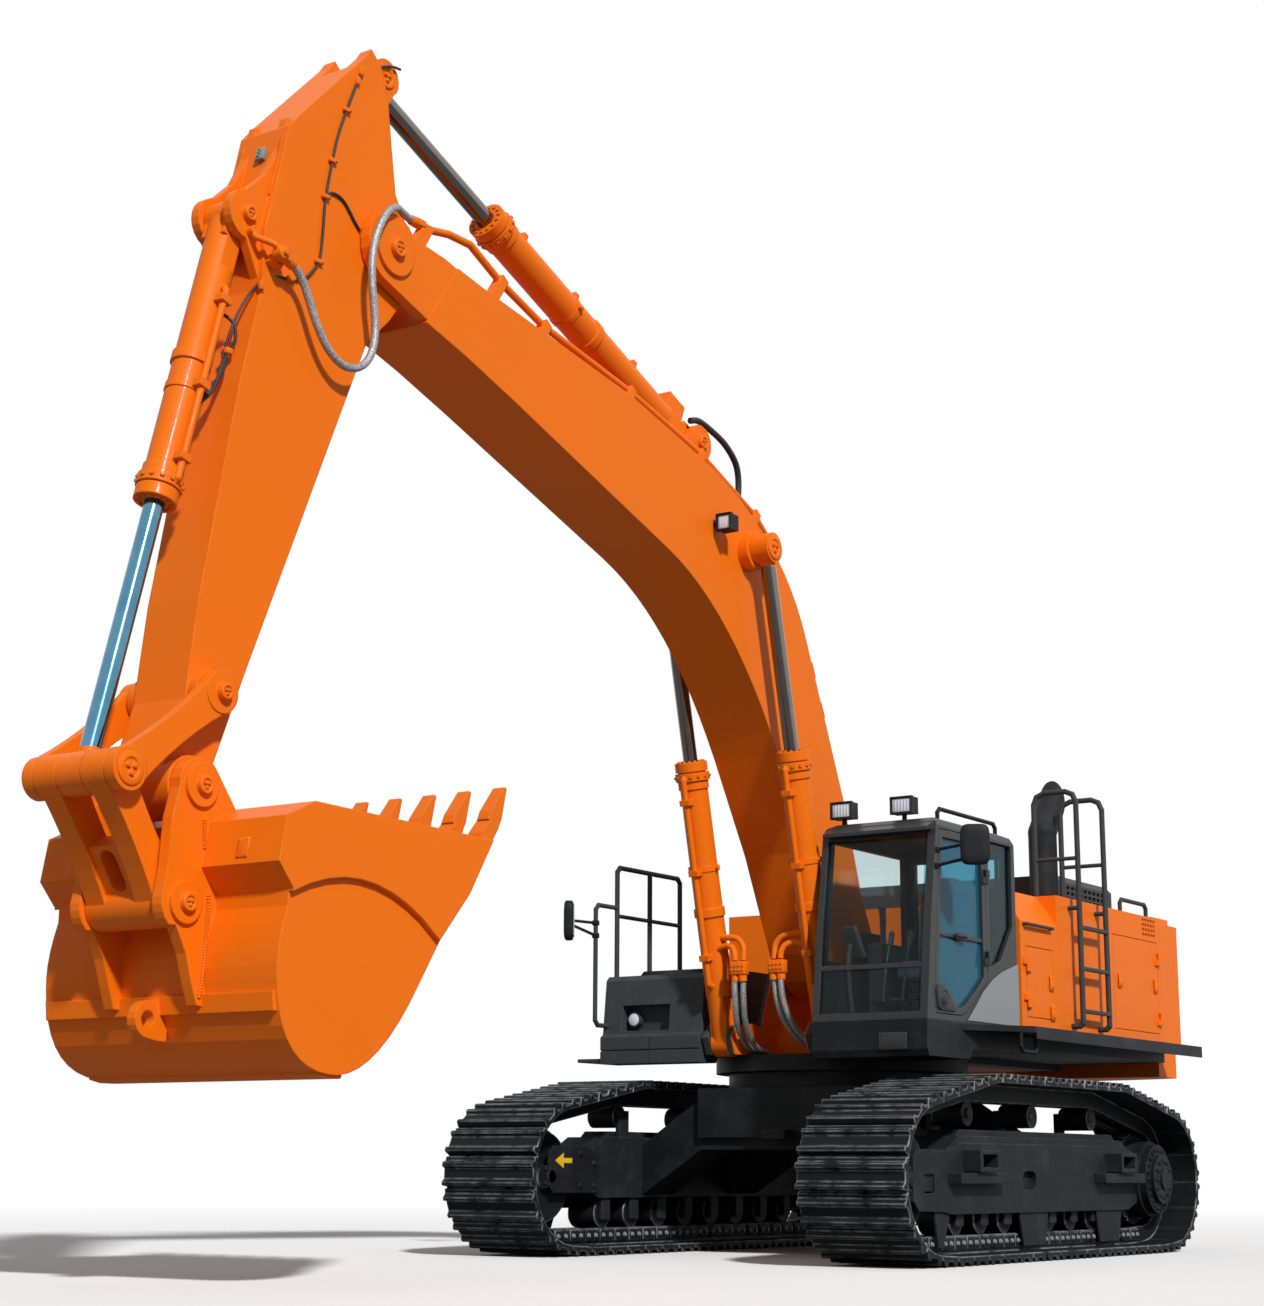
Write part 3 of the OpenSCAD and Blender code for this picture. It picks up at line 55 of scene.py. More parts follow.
# camera, low in front of the left track and looking up at the cab
shot = dict(eye=(18.179, 10.068, 0.692), yaw=34.072, pitch=12.438, roll=0.299, lens=64.55,
    sensor=36, clip=(0.1, 500))
yaw, pitch, roll = (radians(shot[key]) for key in ("yaw", "pitch", "roll"))
ahead = Vector((-cos(yaw) * cos(pitch), -sin(yaw) * cos(pitch), sin(pitch)))
flat = ahead.cross(Vector((0, 0, 1))).normalized()
rise = flat.cross(ahead)
right = flat * cos(roll) + rise * sin(roll)
above = rise * cos(roll) - flat * sin(roll)
camera = bpy.data.objects.new("camera", bpy.data.cameras.new("camera"))
camera.data.lens = shot["lens"]
camera.data.sensor_width = shot["sensor"]
camera.data.clip_start, camera.data.clip_end = shot["clip"]
placed = Matrix((right, above, -ahead)).transposed().to_4x4()
placed.translation = Vector(shot["eye"])
camera.matrix_world = placed
scene.collection.objects.link(camera)
scene.camera = camera

# the pins, and the frames that pieces are placed in: X along the beam or cylinder, Y to the left
pins = {joint["name"]: Vector(joint["pos_m"]) for joint in frame["joints"] if "pos_m" in joint}


def lineUp(start, end):
    along = (end - start).normalized()
    turned = Matrix((along, (0, 1, 0), (-along.z, 0, along.x))).transposed().to_4x4()
    turned.translation = start
    return turned


boomAt = lineUp(pins["boom_lift"], pins["arm_crowd"])
armAt = lineUp(pins["arm_crowd"], pins["bucket_curl"])
rodEyes = dict(boom=(boomAt, (3.361, 0, 1.665)), arm=(armAt, (-1.215, 0, 0.5)),
    bucket=(armAt, (4.482, 0, 0.528)))
eyes = {name: beam @ Vector(point) for name, (beam, point) in rodEyes.items()}
cylinderAt = {name: lineUp(pins[name + "_barrel_pivot"], eye) for name, eye in eyes.items()}
pinGap = {name: (eye - pins[name + "_barrel_pivot"]).length for name, eye in eyes.items()}
made = []
move = Matrix.Translation
shaping = dict(sharpAngle=0.6, weldReach=0.00001, padCuts=9)


# a bmesh becomes a piece: sharp edges stay sharp, the rest is smooth
def addPiece(name, mesh, finish, body=None):
    bmesh.ops.recalc_face_normals(mesh, faces=mesh.faces)
    for face in mesh.faces:
        face.smooth = True
    for edge in mesh.edges:
        edge.smooth = edge.is_manifold and edge.calc_face_angle(0) < shaping["sharpAngle"]
    data = bpy.data.meshes.new(name)
    mesh.to_mesh(data)
    mesh.free()
    piece = bpy.data.objects.new(name, data)
    scene.collection.objects.link(piece)
    if body:
        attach(piece, body)
    made.append((piece, finish))
    return piece


# a smooth line through the points of a route
def smoothLine(route, parts=6):
    points = [Vector(point) for point in route]
    ends = [points[0]] + points + [points[-1]]
    line = []
    for before, one, two, after in zip(ends, ends[1:], ends[2:], ends[3:]):
        leave, arrive = one + (two - before) / 6, two - (after - one) / 6
        line += interpolate_bezier(one, leave, arrive, two, parts + 1)[:-1]
    return line + [points[-1]]


def lengthOf(line):
    return sum((two - one).length for one, two in zip(line, line[1:]))


# a round pipe along a line, capped at both ends
def addPipe(mesh, line, radius, sides=3):
    route = bpy.data.curves.new("route", "CURVE")
    route.dimensions = "3D"
    route.bevel_depth, route.bevel_resolution, route.use_fill_caps = radius, sides, True
    spline = route.splines.new("POLY")
    spline.points.add(len(line) - 1)
    for spot, point in zip(spline.points, line):
        spot.co = (*point, 1)
    holder = bpy.data.objects.new("route", route)
    swept = bpy.data.meshes.new_from_object(holder)
    mesh.from_mesh(swept)
    bpy.data.objects.remove(holder)
    bpy.data.curves.remove(route)
    bpy.data.meshes.remove(swept)


# a place at a point with Z turned along a direction
def aim(point, direction):
    return move(point) @ Vector(direction).to_track_quat("Z", "Y").to_matrix().to_4x4()


# a turned shape from points of radius and height, spun round Z of its place
def addTurned(mesh, place, outline, steps=32):
    old = set(mesh.verts)
    spots = [mesh.verts.new((radius, 0, height)) for radius, height in outline]
    lines = [mesh.edges.new(pair) for pair in zip(spots, spots[1:])]
    bmesh.ops.spin(mesh, geom=spots + lines, cent=(0, 0, 0), axis=(0, 0, 1), angle=tau, steps=steps,
        use_merge=True)
    fresh = [vert for vert in mesh.verts if vert not in old]
    bmesh.ops.remove_doubles(mesh, verts=fresh, dist=shaping["weldReach"])
    fresh = [vert for vert in mesh.verts if vert not in old]
    bmesh.ops.transform(mesh, matrix=place, verts=fresh)


# washer and hex head, in bolt sizes: sides, lower and upper radius, thickness, height of the middle
boltParts = [(16, 1.25, 1.2, 0.24, 0.12), (6, 1.0, 0.93, 0.7, 0.58)]


def addBolt(mesh, place, size):
    for sides, low, high, thick, lift in boltParts:
        bmesh.ops.create_cone(mesh, cap_ends=True, segments=sides, radius1=size * low, radius2=size * high,
            depth=size * thick, matrix=place @ move((0, 0, size * lift)))


def addBoltRing(mesh, place, radius, count, size, start=0.0):
    for turn in range(count):
        angle = start + tau * turn / count
        addBolt(mesh, place @ move((radius * cos(angle), radius * sin(angle), 0)), size)


def addNut(mesh, place, radius, length):
    bmesh.ops.create_cone(mesh, cap_ends=True, segments=6, radius1=radius, radius2=radius, depth=length,
        matrix=place)


def roundEdges(mesh, edges, offset):
    bmesh.ops.bevel(mesh, geom=list(edges), offset=offset, segments=2, affect="EDGES", profile=0.5,
        material=-1)


# a box with rounded edges, centred on its place
def addBlock(mesh, place, size, edge=0.004):
    cube = bmesh.ops.create_cube(mesh, size=1, matrix=place @ Matrix.Diagonal((*size, 1)))
    roundEdges(mesh, {line for vert in cube["verts"] for line in vert.link_edges}, edge)


# a flat outline given in X and Y of its place, made thick along Z
def addPlate(mesh, place, outline, thick, edge=0.0):
    face = mesh.faces.new([mesh.verts.new((x, y, 0)) for x, y in outline])
    grown = bmesh.ops.extrude_face_region(mesh, geom=[face])["geom"]
    verts = [item for item in grown if isinstance(item, bmesh.types.BMVert)]
    bmesh.ops.translate(mesh, verts=verts, vec=(0, 0, thick))
    bmesh.ops.transform(mesh, matrix=place, verts=list(set(verts) | set(face.verts)))
    if edge:
        rim = {line for vert in verts for line in vert.link_edges if all(end in verts for end in line.verts)}
        roundEdges(mesh, rim, edge)


# a weld laid in short overlapping ripples along a route; spacing and length are in weld sizes
ripple = dict(spacing=1.1, length=0.8, sides=8, rings=5)


def addWeld(mesh, route, size):
    points = [Vector(point) for point in route]
    squash = Matrix.Diagonal((1, 1, ripple["length"], 1))
    for one, two in zip(points, points[1:]):
        count = max(2, int((two - one).length / (size * ripple["spacing"])))
        turn = (two - one).to_track_quat("Z", "Y").to_matrix().to_4x4()
        for step in range(count):
            spot = move(one.lerp(two, step / count)) @ turn @ squash
            bmesh.ops.create_uvsphere(mesh, u_segments=ripple["sides"], v_segments=ripple["rings"],
                radius=size, matrix=spot)


def mirrored(points, side):
    return [Vector((x, y * side, z)) for x, y, z in points]


# hoses that hang in a loop from the boom's pipes to the ports on the arm
armHose = dict(diameter=0.054, sides=5, pipeEnd=(7.72, 0.262, 0.42), route=[
    (6.45, 0.262, 7.115), (6.56, 0.29, 7.114), (6.68, 0.328, 7.106), (6.79, 0.354, 7.036),
    (6.88, 0.368, 6.915), (6.94, 0.37, 6.77), (6.965, 0.37, 6.61), (6.95, 0.366, 6.44), (6.915, 0.36, 6.28),
    (6.895, 0.355, 6.13), (6.925, 0.35, 5.97), (7.01, 0.345, 5.865), (7.13, 0.34, 5.82), (7.25, 0.336, 5.84),
    (7.36, 0.332, 5.92), (7.45, 0.328, 6.04), (7.52, 0.325, 6.17), (7.59, 0.325, 6.28), (7.67, 0.325, 6.345),
    (7.77, 0.325, 6.38)])
hoseStart = boomAt @ Vector(armHose["pipeEnd"])
for side, word in ((1, "left"), (-1, "right")):
    line = smoothLine(mirrored([hoseStart] + armHose["route"], side))
    mesh = bmesh.new()
    addPipe(mesh, line, armHose["diameter"] / 2, armHose["sides"])
    hose = addPiece("armHose." + word, mesh, "hose_braid")
    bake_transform(hose)
    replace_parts(hose, "arm_hose_" + word)
    length = lengthOf(line)
    print("arm hose", word, round(length, 2), "m")

# hoses from the boom cylinders' pipes down to the deck
liftHose = dict(diameter=0.05, sides=5, step=(0.02, 0.07, 0.0), inner=[
    (1.39, 0.15, 2.27), (1.385, 0.155, 2.15), (1.36, 0.165, 2.03), (1.31, 0.185, 1.915), (1.22, 0.21, 1.815),
    (1.10, 0.235, 1.735), (0.97, 0.25, 1.685), (0.84, 0.25, 1.664)])
for side, word in ((1, "left"), (-1, "right")):
    for row in range(2):
        shift = Vector(liftHose["step"]) * row
        line = smoothLine(mirrored([Vector(point) + shift for point in liftHose["inner"]], side))
        mesh = bmesh.new()
        addPipe(mesh, line, liftHose["diameter"] / 2, liftHose["sides"])
        hose = addPiece("liftHose.{}.{}".format(word, row + 1), mesh, "hose_braid")
        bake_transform(hose)
        length = lengthOf(line)
print("hoses hung")

# nuts and elbows where the hoses and pipes meet
hoseEnds = dict(nut=0.043, nutLength=0.07, nutShift=(0.01, 0, 0), sleeveShift=(0.025, 0, 0),
    sleeve=[(0, 0), (0.036, 0), (0.036, 0.05), (0.031, 0.06), (0, 0.06)],
    tailBack=0.1, tail=[(0, 0), (0.031, 0), (0.036, 0.01), (0.036, 0.07), (0, 0.07)],
    endNutBack=0.01, endNutLength=0.05,
    port=(7.8, 0.292, 6.392), portBolt=0.022, portOut=0.072,
    portShape=[(0, 0), (0.046, 0), (0.046, 0.066), (0.038, 0.074), (0, 0.074)],
    lug=(7.93, 0.19, 6.53), lugShape=[(0, -0.03), (0.034, -0.03), (0.034, 0.03), (0, 0.03)],
    elbow=[(0.01, 0.03, 0.02), (0.05, 0.02, 0.05)], elbowShare=0.3, elbowOut=(0.03, 0, 0),
    elbowRadius=0.022)
nuts, ports = bmesh.new(), bmesh.new()
for side in (1, -1):
    start, port, lug, before, end = mirrored([hoseStart, hoseEnds["port"], hoseEnds["lug"],
        *armHose["route"][-2:]], side)
    nutAt = aim(start - Vector(hoseEnds["nutShift"]), (1, 0, 0))
    addNut(nuts, nutAt, hoseEnds["nut"], hoseEnds["nutLength"])
    addTurned(nuts, aim(start + Vector(hoseEnds["sleeveShift"]), (1, 0, 0)), hoseEnds["sleeve"], 20)
    lead = (end - before).normalized()
    addTurned(ports, aim(end - lead * hoseEnds["tailBack"], lead), hoseEnds["tail"], 20)
    nutAt = aim(end - lead * hoseEnds["endNutBack"], lead)
    addNut(ports, nutAt, hoseEnds["nut"], hoseEnds["endNutLength"])
    sideways = (0, side, 0)
    addTurned(ports, aim(port, sideways), hoseEnds["portShape"], 24)
    boltAt = aim(port + Vector((0, hoseEnds["portOut"] * side, 0)), sideways)
    addBolt(ports, boltAt, hoseEnds["portBolt"])
    elbow = [port + shift for shift in mirrored(hoseEnds["elbow"], side)]
    elbow += [lug.lerp(port, hoseEnds["elbowShare"]) + Vector(hoseEnds["elbowOut"]), lug]
    addPipe(ports, smoothLine(elbow), hoseEnds["elbowRadius"], 4)
    addTurned(ports, aim(lug, sideways), hoseEnds["lugShape"], 16)
addPiece("hoseNuts", nuts, "orange_paint", "boom")
addPiece("hosePorts", ports, "orange_paint", "arm")

# feed pipes from the boom cylinders to the blocks above their hoses
feeds = dict(radius=0.026, sides=4, routes=[
    [(1.35, 0.40, 2.605), (1.36, 0.30, 2.60), (1.37, 0.21, 2.58), (1.38, 0.155, 2.51), (1.39, 0.15, 2.40)],
    [(1.36, 0.42, 2.51), (1.37, 0.33, 2.53), (1.39, 0.26, 2.51), (1.405, 0.226, 2.46), (1.41, 0.22, 2.40)]],
    block=(1.40, 0.185, 2.335), blockSize=(0.078, 0.15, 0.11), blockEdge=0.008,
    outlets=(-0.035, 0.035), outletDrop=-0.11, outlet=[(0, 0), (0.036, 0), (0.036, 0.05), (0, 0.05)],
    boltRing=(0.026, 4, 0.008, pi / 4))
mesh = bmesh.new()
for side in (1, -1):
    for route in feeds["routes"]:
        addPipe(mesh, smoothLine(mirrored(route, side)), feeds["radius"], feeds["sides"])
    block = mirrored([feeds["block"]], side)[0]
    addBlock(mesh, move(block), feeds["blockSize"], feeds["blockEdge"])
    for across in feeds["outlets"]:
        low = block + Vector((0, across, feeds["outletDrop"]))
        addTurned(mesh, aim(low, (0, 0, 1)), feeds["outlet"], 16)
        front = block + Vector((feeds["blockSize"][0] / 2, across, 0))
        addBoltRing(mesh, aim(front, (1, 0, 0)), *feeds["boltRing"])
addPiece("liftPipes", mesh, "orange_paint", "boom_barrels")

# bolts on the heads and collars of the cylinders, and clamps round the barrels
heads = dict(cylinders=dict(boom=(0.586, 0.118, (0.495, -0.495), "boom_barrels"),
    arm=(0.662, 0.13, (0,), "arm_barrel"), bucket=(0.538, 0.115, (0,), "bucket_barrel")),
    count=14, inset=0.012, bolt=0.0135, collarBack=0.125, collarOut=0.027, collarBolt=0.013,
    clampShare=0.62, clampIn=0.001, clampOut=0.007, clampHalf=0.025, earTurns=(0.25, 0.75),
    earOut=0.018, ear=(0.045, 0.03, 0.03), earEdge=0.004, earBolt=0.009, earBoltOut=0.014)
for name, (share, radius, offsets, body) in heads["cylinders"].items():
    mesh = bmesh.new()
    reach = pinGap[name] * share
    inner, outer, half = radius + heads["clampIn"], radius + heads["clampOut"], heads["clampHalf"]
    band = [(inner, -half), (outer, -half), (outer, half), (inner, half), (inner, -half)]
    for across in offsets:
        place = cylinderAt[name] @ move((reach, across, 0)) @ Matrix.Rotation(pi / 2, 4, "Y")
        addBoltRing(mesh, place, radius - heads["inset"], heads["count"], heads["bolt"])
        collar = cylinderAt[name] @ move((reach - heads["collarBack"], across, 0))
        lift = move((0, 0, radius + heads["collarOut"]))
        for turn in range(heads["count"]):
            spot = collar @ Matrix.Rotation(tau * turn / heads["count"], 4, "X") @ lift
            addBolt(mesh, spot, heads["collarBolt"])
        clamp = cylinderAt[name] @ move((reach * heads["clampShare"], across, 0))
        addTurned(mesh, clamp @ Matrix.Rotation(pi / 2, 4, "Y"), band, 40)
        lift = move((0, 0, radius + heads["earOut"]))
        for turn in heads["earTurns"]:
            ear = clamp @ Matrix.Rotation(tau * turn, 4, "X") @ lift
            addBlock(mesh, ear, heads["ear"], heads["earEdge"])
            spot = ear @ move((0, heads["earBoltOut"], 0)) @ Matrix.Rotation(-pi / 2, 4, "X")
            addBolt(mesh, spot, heads["earBolt"])
    addPiece("headBolts." + name, mesh, "orange_paint", body)

# caps on the ends of the pins, each held by three bolts: body, pin, distance out, radius
linkDrop = Vector((0.092, 0, -0.695))
pinCaps = dict(places=[
    ("upper", pins["boom_lift"], 0.43, 0.07), ("upper", pins["boom_barrel_pivot"], 0.655, 0.058),
    ("boom", pins["arm_crowd"], 0.357, 0.066), ("boom", pins["arm_barrel_pivot"], 0.21, 0.058),
    ("boom_rods", eyes["boom"], 0.575, 0.105), ("arm", eyes["arm"], 0.176, 0.085),
    ("arm", pins["bucket_barrel_pivot"], 0.196, 0.052), ("side_links", pins["side_link_pivot"], 0.406, 0.052),
    ("side_links", eyes["bucket"], 0.376, 0.1), ("bucket", pins["bucket_curl"], 0.421, 0.057),
    ("bucket", pins["bucket_curl"] + linkDrop, 0.421, 0.057)],
    shape=[(0, 0), (1, 0), (1, 0.008), (0.9, 0.014), (0.62, 0.014), (0.56, 0.006), (0, 0.006)],
    hollow=0.006, ringShare=0.3, bolts=3, boltShare=0.2, boltMost=0.016)
capMeshes = {}
for body, point, out, radius in pinCaps["places"]:
    mesh = capMeshes.setdefault(body, bmesh.new())
    outline = [(radius * share, height) for share, height in pinCaps["shape"]]
    bolt = min(pinCaps["boltMost"], radius * pinCaps["boltShare"])
    for side in (1, -1):
        place = aim(Vector((point.x, out * side, point.z)), (0, side, 0))
        addTurned(mesh, place, outline, 36)
        hollow = place @ move((0, 0, pinCaps["hollow"]))
        addBoltRing(mesh, hollow, radius * pinCaps["ringShare"], pinCaps["bolts"], bolt, pi / 6)
for body, mesh in capMeshes.items():
    addPiece("pinCaps." + body, mesh, "black_metal" if body == "upper" else "orange_paint", body)

# rippled welds round the lugs and ears
welds = dict(size=0.014, routes=dict(
    arm=[[(7.60, 0.174, 7.42), (7.675, 0.174, 7.25), (7.73, 0.174, 7.01), (7.775, 0.174, 6.83)]],
    bucket=[[(8.313, 0.378, 2.677), (8.30, 0.378, 2.5)], [(8.255, 0.378, 2.24), (8.249, 0.378, 2.185),
        (8.256, 0.378, 2.039), (8.262, 0.378, 1.865), (8.277, 0.378, 1.72), (8.296, 0.378, 1.633)]]))
for body, routes in welds["routes"].items():
    mesh = bmesh.new()
    for route in routes:
        for side in (1, -1):
            addWeld(mesh, mirrored(route, side), welds["size"])
    addPiece("welds." + body, mesh, "orange_paint", body)

# thin grease lines on the left face of the arm, with loose tails at its front
grease = dict(radius=0.0095, sides=2, face=0.227, stepIn=0.026,
    main=[(6.977, 8.003), (7.03, 7.877), (7.108, 7.682), (7.184, 7.468), (7.231, 7.268), (7.287, 6.967),
        (7.302, 6.724), (7.333, 6.516), (7.462, 6.356), (7.58, 6.31)],
    branch=[(7.288, 6.987), (7.22, 7.041), (7.105, 7.023), (6.985, 6.914), (6.93, 6.87)],
    front=[(7.62, 6.30), (7.753, 6.279), (7.877, 6.162), (7.965, 6.0), (8.02, 5.83), (8.05, 5.66)],
    topFace=0.2, top=[(6.952, 8.012), (6.838, 8.096), (6.695, 8.181), (6.60, 8.215), (6.53, 8.225)],
    tails=4, tailRadius=0.011,
    tail=[(8.03, 0.11, 5.70), (8.06, 0.135, 5.60), (8.12, 0.13, 5.49), (8.19, 0.08, 5.42)],
    tailStep=[(0, 0.004, 0), (0.012, 0, -0.01), (0.014, 0, -0.03), (0.016, 0, -0.04)],
    curl=[(8.0, 0.12, 5.72), (7.985, 0.14, 5.80), (8.0, 0.13, 5.90), (8.06, 0.08, 5.96)])
mesh = bmesh.new()
for name in ("main", "branch"):
    route = [(x, grease["face"], z) for x, z in grease[name]]
    addPipe(mesh, smoothLine(route), grease["radius"], grease["sides"])
turnIn = [(x, grease["face"] - grease["stepIn"] * step, z)
    for step, (x, z) in enumerate(grease["front"])]
addPipe(mesh, smoothLine(turnIn), grease["radius"], grease["sides"])
for step in range(grease["tails"]):
    tail = [[start + change * step for start, change in zip(point, shift)]
        for point, shift in zip(grease["tail"], grease["tailStep"])]
    addPipe(mesh, smoothLine(tail), grease["tailRadius"], grease["sides"])
addPipe(mesh, smoothLine(grease["curl"]), grease["tailRadius"], grease["sides"])
route = [(x, grease["topFace"], z) for x, z in grease["top"]]
addPipe(mesh, smoothLine(route), grease["radius"], grease["sides"])
addPiece("greaseLines", mesh, "rubber", "arm")

# clips and ties that hold the grease lines, and the block that their tails leave
clips = dict(clips=[(7.108, 7.682), (7.231, 7.268), (7.287, 6.99), (7.333, 6.516), (7.60, 6.305)],
    clip=(0.07, 0.03, 0.03), edge=0.004, bolt=0.009, boltBack=0.022, boltOut=0.015,
    block=((8.02, 0.105, 5.71), (0.06, 0.06, 0.04), 0.005),
    ties=[(7.003, 7.94), (6.97, 8.02), (7.86, 6.18)], tie=(0.035, 0.03, 0.06), tieIn=0.004)
mesh = bmesh.new()
for x, z in clips["clips"]:
    addBlock(mesh, move((x, grease["face"], z)), clips["clip"], clips["edge"])
    spot = (x - clips["boltBack"], grease["face"] + clips["boltOut"], z)
    addBolt(mesh, aim(spot, (0, 1, 0)), clips["bolt"])
point, size, edge = clips["block"]
addBlock(mesh, move(point), size, edge)
for x, z in clips["ties"]:
    spot = (x, grease["face"] - clips["tieIn"], z)
    addBlock(mesh, move(spot), clips["tie"], clips["edge"])
addPiece("greaseClips", mesh, "orange_paint", "arm")

# two hoses that bend from the arm cylinder's foot down the back of the boom
backHose = dict(radius=0.027, sides=4, route=[(2.70, 0.16, 6.70), (2.60, 0.18, 6.72), (2.42, 0.19, 6.685),
    (2.20, 0.19, 6.62), (2.02, 0.18, 6.51), (1.94, 0.16, 6.385), (1.93, 0.15, 6.22)])
mesh = bmesh.new()
for side in (1, -1):
    addPipe(mesh, smoothLine(mirrored(backHose["route"], side)), backHose["radius"], backHose["sides"])
addPiece("backHoses", mesh, "rubber", "boom")
print("front fitted")

# lamps: a flat lens with upright ribs, facing ahead, and one round lens on the tool box
lamps = dict(cabRows=(0.78, 1.335), cabFace=(1.343, 3.5925), cabSize=(0.165, 0.11),
    boomSpot=(3.83, 0.31, 1.49), boomShift=(0.04, 0.11), boomSize=(0.11, 0.11),
    thick=0.012, edge=0.005, gaps=6, rib=0.006, ribLift=0.013, ribShare=0.86, ribEdge=0.002,
    roundSpot=(1.165, -1.4, 1.96), round=[(0, 0), (0.052, 0), (0.05, 0.006), (0.03, 0.013), (0, 0.016)])
faceAhead = Matrix(((0, 0, 1, 0), (1, 0, 0, 0), (0, 1, 0, 0), (0, 0, 0, 1)))


def addLens(mesh, point, wide, high):
    place = move(point) @ faceAhead
    addBlock(mesh, place @ move((0, 0, lamps["thick"] / 2)), (wide, high, lamps["thick"]), lamps["edge"])
    for step in range(1, lamps["gaps"]):
        rib = place @ move((wide * (step / lamps["gaps"] - 0.5), 0, lamps["ribLift"]))
        addBlock(mesh, rib, (lamps["rib"], high * lamps["ribShare"], lamps["rib"]), lamps["ribEdge"])


mesh = bmesh.new()
for across in lamps["cabRows"]:
    x, z = lamps["cabFace"]
    addLens(mesh, (x, across, z), *lamps["cabSize"])
addTurned(mesh, aim(lamps["roundSpot"], (1, 0, 0)), lamps["round"], 28)
addPiece("cabLenses", mesh, "lamp_lens", "upper")
mesh = bmesh.new()
spot = boomAt @ Vector(lamps["boomSpot"])
addLens(mesh, (spot.x + lamps["boomShift"][0], spot.y + lamps["boomShift"][1], spot.z), *lamps["boomSize"])
addPiece("boomLens", mesh, "lamp_lens", "boom")

# the seat: crowned pads, each with its middle, size and squareness, on a bellows base
seat = dict(middle=1.185, fill=0.75, pads=dict(seatCushion=((0.575, 2.31), (0.48, 0.50, 0.17), 4.5),
    seatBack=((0.305, 2.60), (0.15, 0.48, 0.70), 4.5), seatHead=((0.295, 3.03), (0.11, 0.27, 0.17), 3.5)),
    base=(0.55, 1.937), folds=6, foldWide=(0.25, 0.30), foldMore=0.04, foldHigh=0.054,
    foldEdge=0.012, stems=(-0.07, 0.07), stem=[(0.30, 2.88), (0.295, 3.0)], stemRadius=0.008)


def addPad(mesh, place, size, square):
    bmesh.ops.create_cube(mesh, size=1)
    bmesh.ops.subdivide_edges(mesh, edges=mesh.edges[:], cuts=shaping["padCuts"], use_grid_fill=True)
    for vert in mesh.verts:
        swell = sum(abs(part * 2) ** square for part in vert.co) ** (1 / square)
        vert.co = vert.co / swell
    bmesh.ops.transform(mesh, matrix=place @ Matrix.Diagonal((*size, 1)), verts=mesh.verts)


for name, ((x, z), size, square) in seat["pads"].items():
    mesh = bmesh.new()
    addPad(mesh, move((x, seat["middle"], z)), size, square)
    pad = addPiece(name, mesh, "seat_fabric", "upper")
    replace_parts(pad, "seat")
mesh = bmesh.new()
x, z = seat["base"]
for step in range(seat["folds"]):
    wide = seat["foldWide"][step % 2]
    fold = move((x, seat["middle"], z + step * seat["foldHigh"]))
    addBlock(mesh, fold, (wide, wide + seat["foldMore"], seat["foldHigh"]), seat["foldEdge"])
for across in seat["stems"]:
    addPipe(mesh, [(x, seat["middle"] + across, z) for x, z in seat["stem"]], seat["stemRadius"], 3)
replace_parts(addPiece("seatBase", mesh, "cab_plastic", "upper"), "seat")

# cab fittings: monitor on its post, travel levers and pedals, grips on the side levers
cabKit = dict(monitor=((1.22, 0.80, 2.52), (-0.85, 0.4, 0.35)), monitorSize=(0.20, 0.27, 0.05),
    monitorEdge=0.015, postRadius=0.022,
    post=[(1.24, 0.79, 2.50), (1.26, 0.78, 2.35), (1.25, 0.78, 2.15), (1.20, 0.78, 1.92)],
    levers=(-0.09, 0.09), lever=[(1.28, 1.92), (1.26, 2.10), (1.20, 2.32), (1.13, 2.50)],
    leverRadius=0.012, knobAt=(1.135, 2.49), knobLean=(-0.35, 0, 0.9),
    knob=[(0, 0), (0.02, 0), (0.026, 0.02), (0.024, 0.10), (0.012, 0.12), (0, 0.12)],
    pedalAt=(1.30, 1.985), pedalLean=(-0.45, 0, 0.9), pedal=(0.11, 0.22, 0.018), pedalEdge=0.006,
    grips=(-0.325, 0.32), gripAt=(0.80, 2.70), gripLean=(0.15, 0, 1),
    grip=[(0, 0), (0.022, 0), (0.03, 0.03), (0.024, 0.07), (0.034, 0.12), (0.02, 0.15), (0, 0.15)])
mesh = bmesh.new()
addBlock(mesh, aim(*cabKit["monitor"]), cabKit["monitorSize"], cabKit["monitorEdge"])
addPipe(mesh, smoothLine(cabKit["post"]), cabKit["postRadius"], 3)
for across in cabKit["levers"]:
    y = seat["middle"] + across
    addPipe(mesh, smoothLine([(x, y, z) for x, z in cabKit["lever"]]), cabKit["leverRadius"], 3)
    x, z = cabKit["knobAt"]
    addTurned(mesh, aim((x, y, z), cabKit["knobLean"]), cabKit["knob"], 16)
    x, z = cabKit["pedalAt"]
    addBlock(mesh, aim((x, y, z), cabKit["pedalLean"]), cabKit["pedal"], cabKit["pedalEdge"])
x, z = cabKit["gripAt"]
for across in cabKit["grips"]:
    spot = (x, seat["middle"] + across, z)
    addTurned(mesh, aim(spot, cabKit["gripLean"]), cabKit["grip"], 18)
addPiece("cabFittings", mesh, "cab_plastic", "upper")

# door: bezel in the low front corner with a round bulge, handle on the rail
trim = dict(face=1.70, bezel=[(1.225, 1.925), (1.475, 1.925), (1.515, 1.95), (1.535, 2.08),
    (1.505, 2.12), (1.44, 2.125), (1.36, 2.10), (1.27, 2.03), (1.225, 1.97)], bezelThick=0.014, edge=0.005,
    bulgeAt=(1.41, 1.712, 2.02), bulge=[(0, 0.016), (0.03, 0.015), (0.05, 0.008), (0.052, 0), (0.06, 0),
    (0.06, 0.006), (0.07, 0.006), (0.074, 0), (0, 0)], handleAt=(1.07, 1.702, 2.53),
    handle=(0.17, 0.012, 0.06), barRadius=0.009,
    bar=[(-0.065, 1.70), (-0.06, 1.728), (0, 1.736), (0.06, 1.728), (0.065, 1.70)])
outward = Matrix(((1, 0, 0, 0), (0, 0, 1, trim["face"]), (0, -1, 0, 0), (0, 0, 0, 1)))
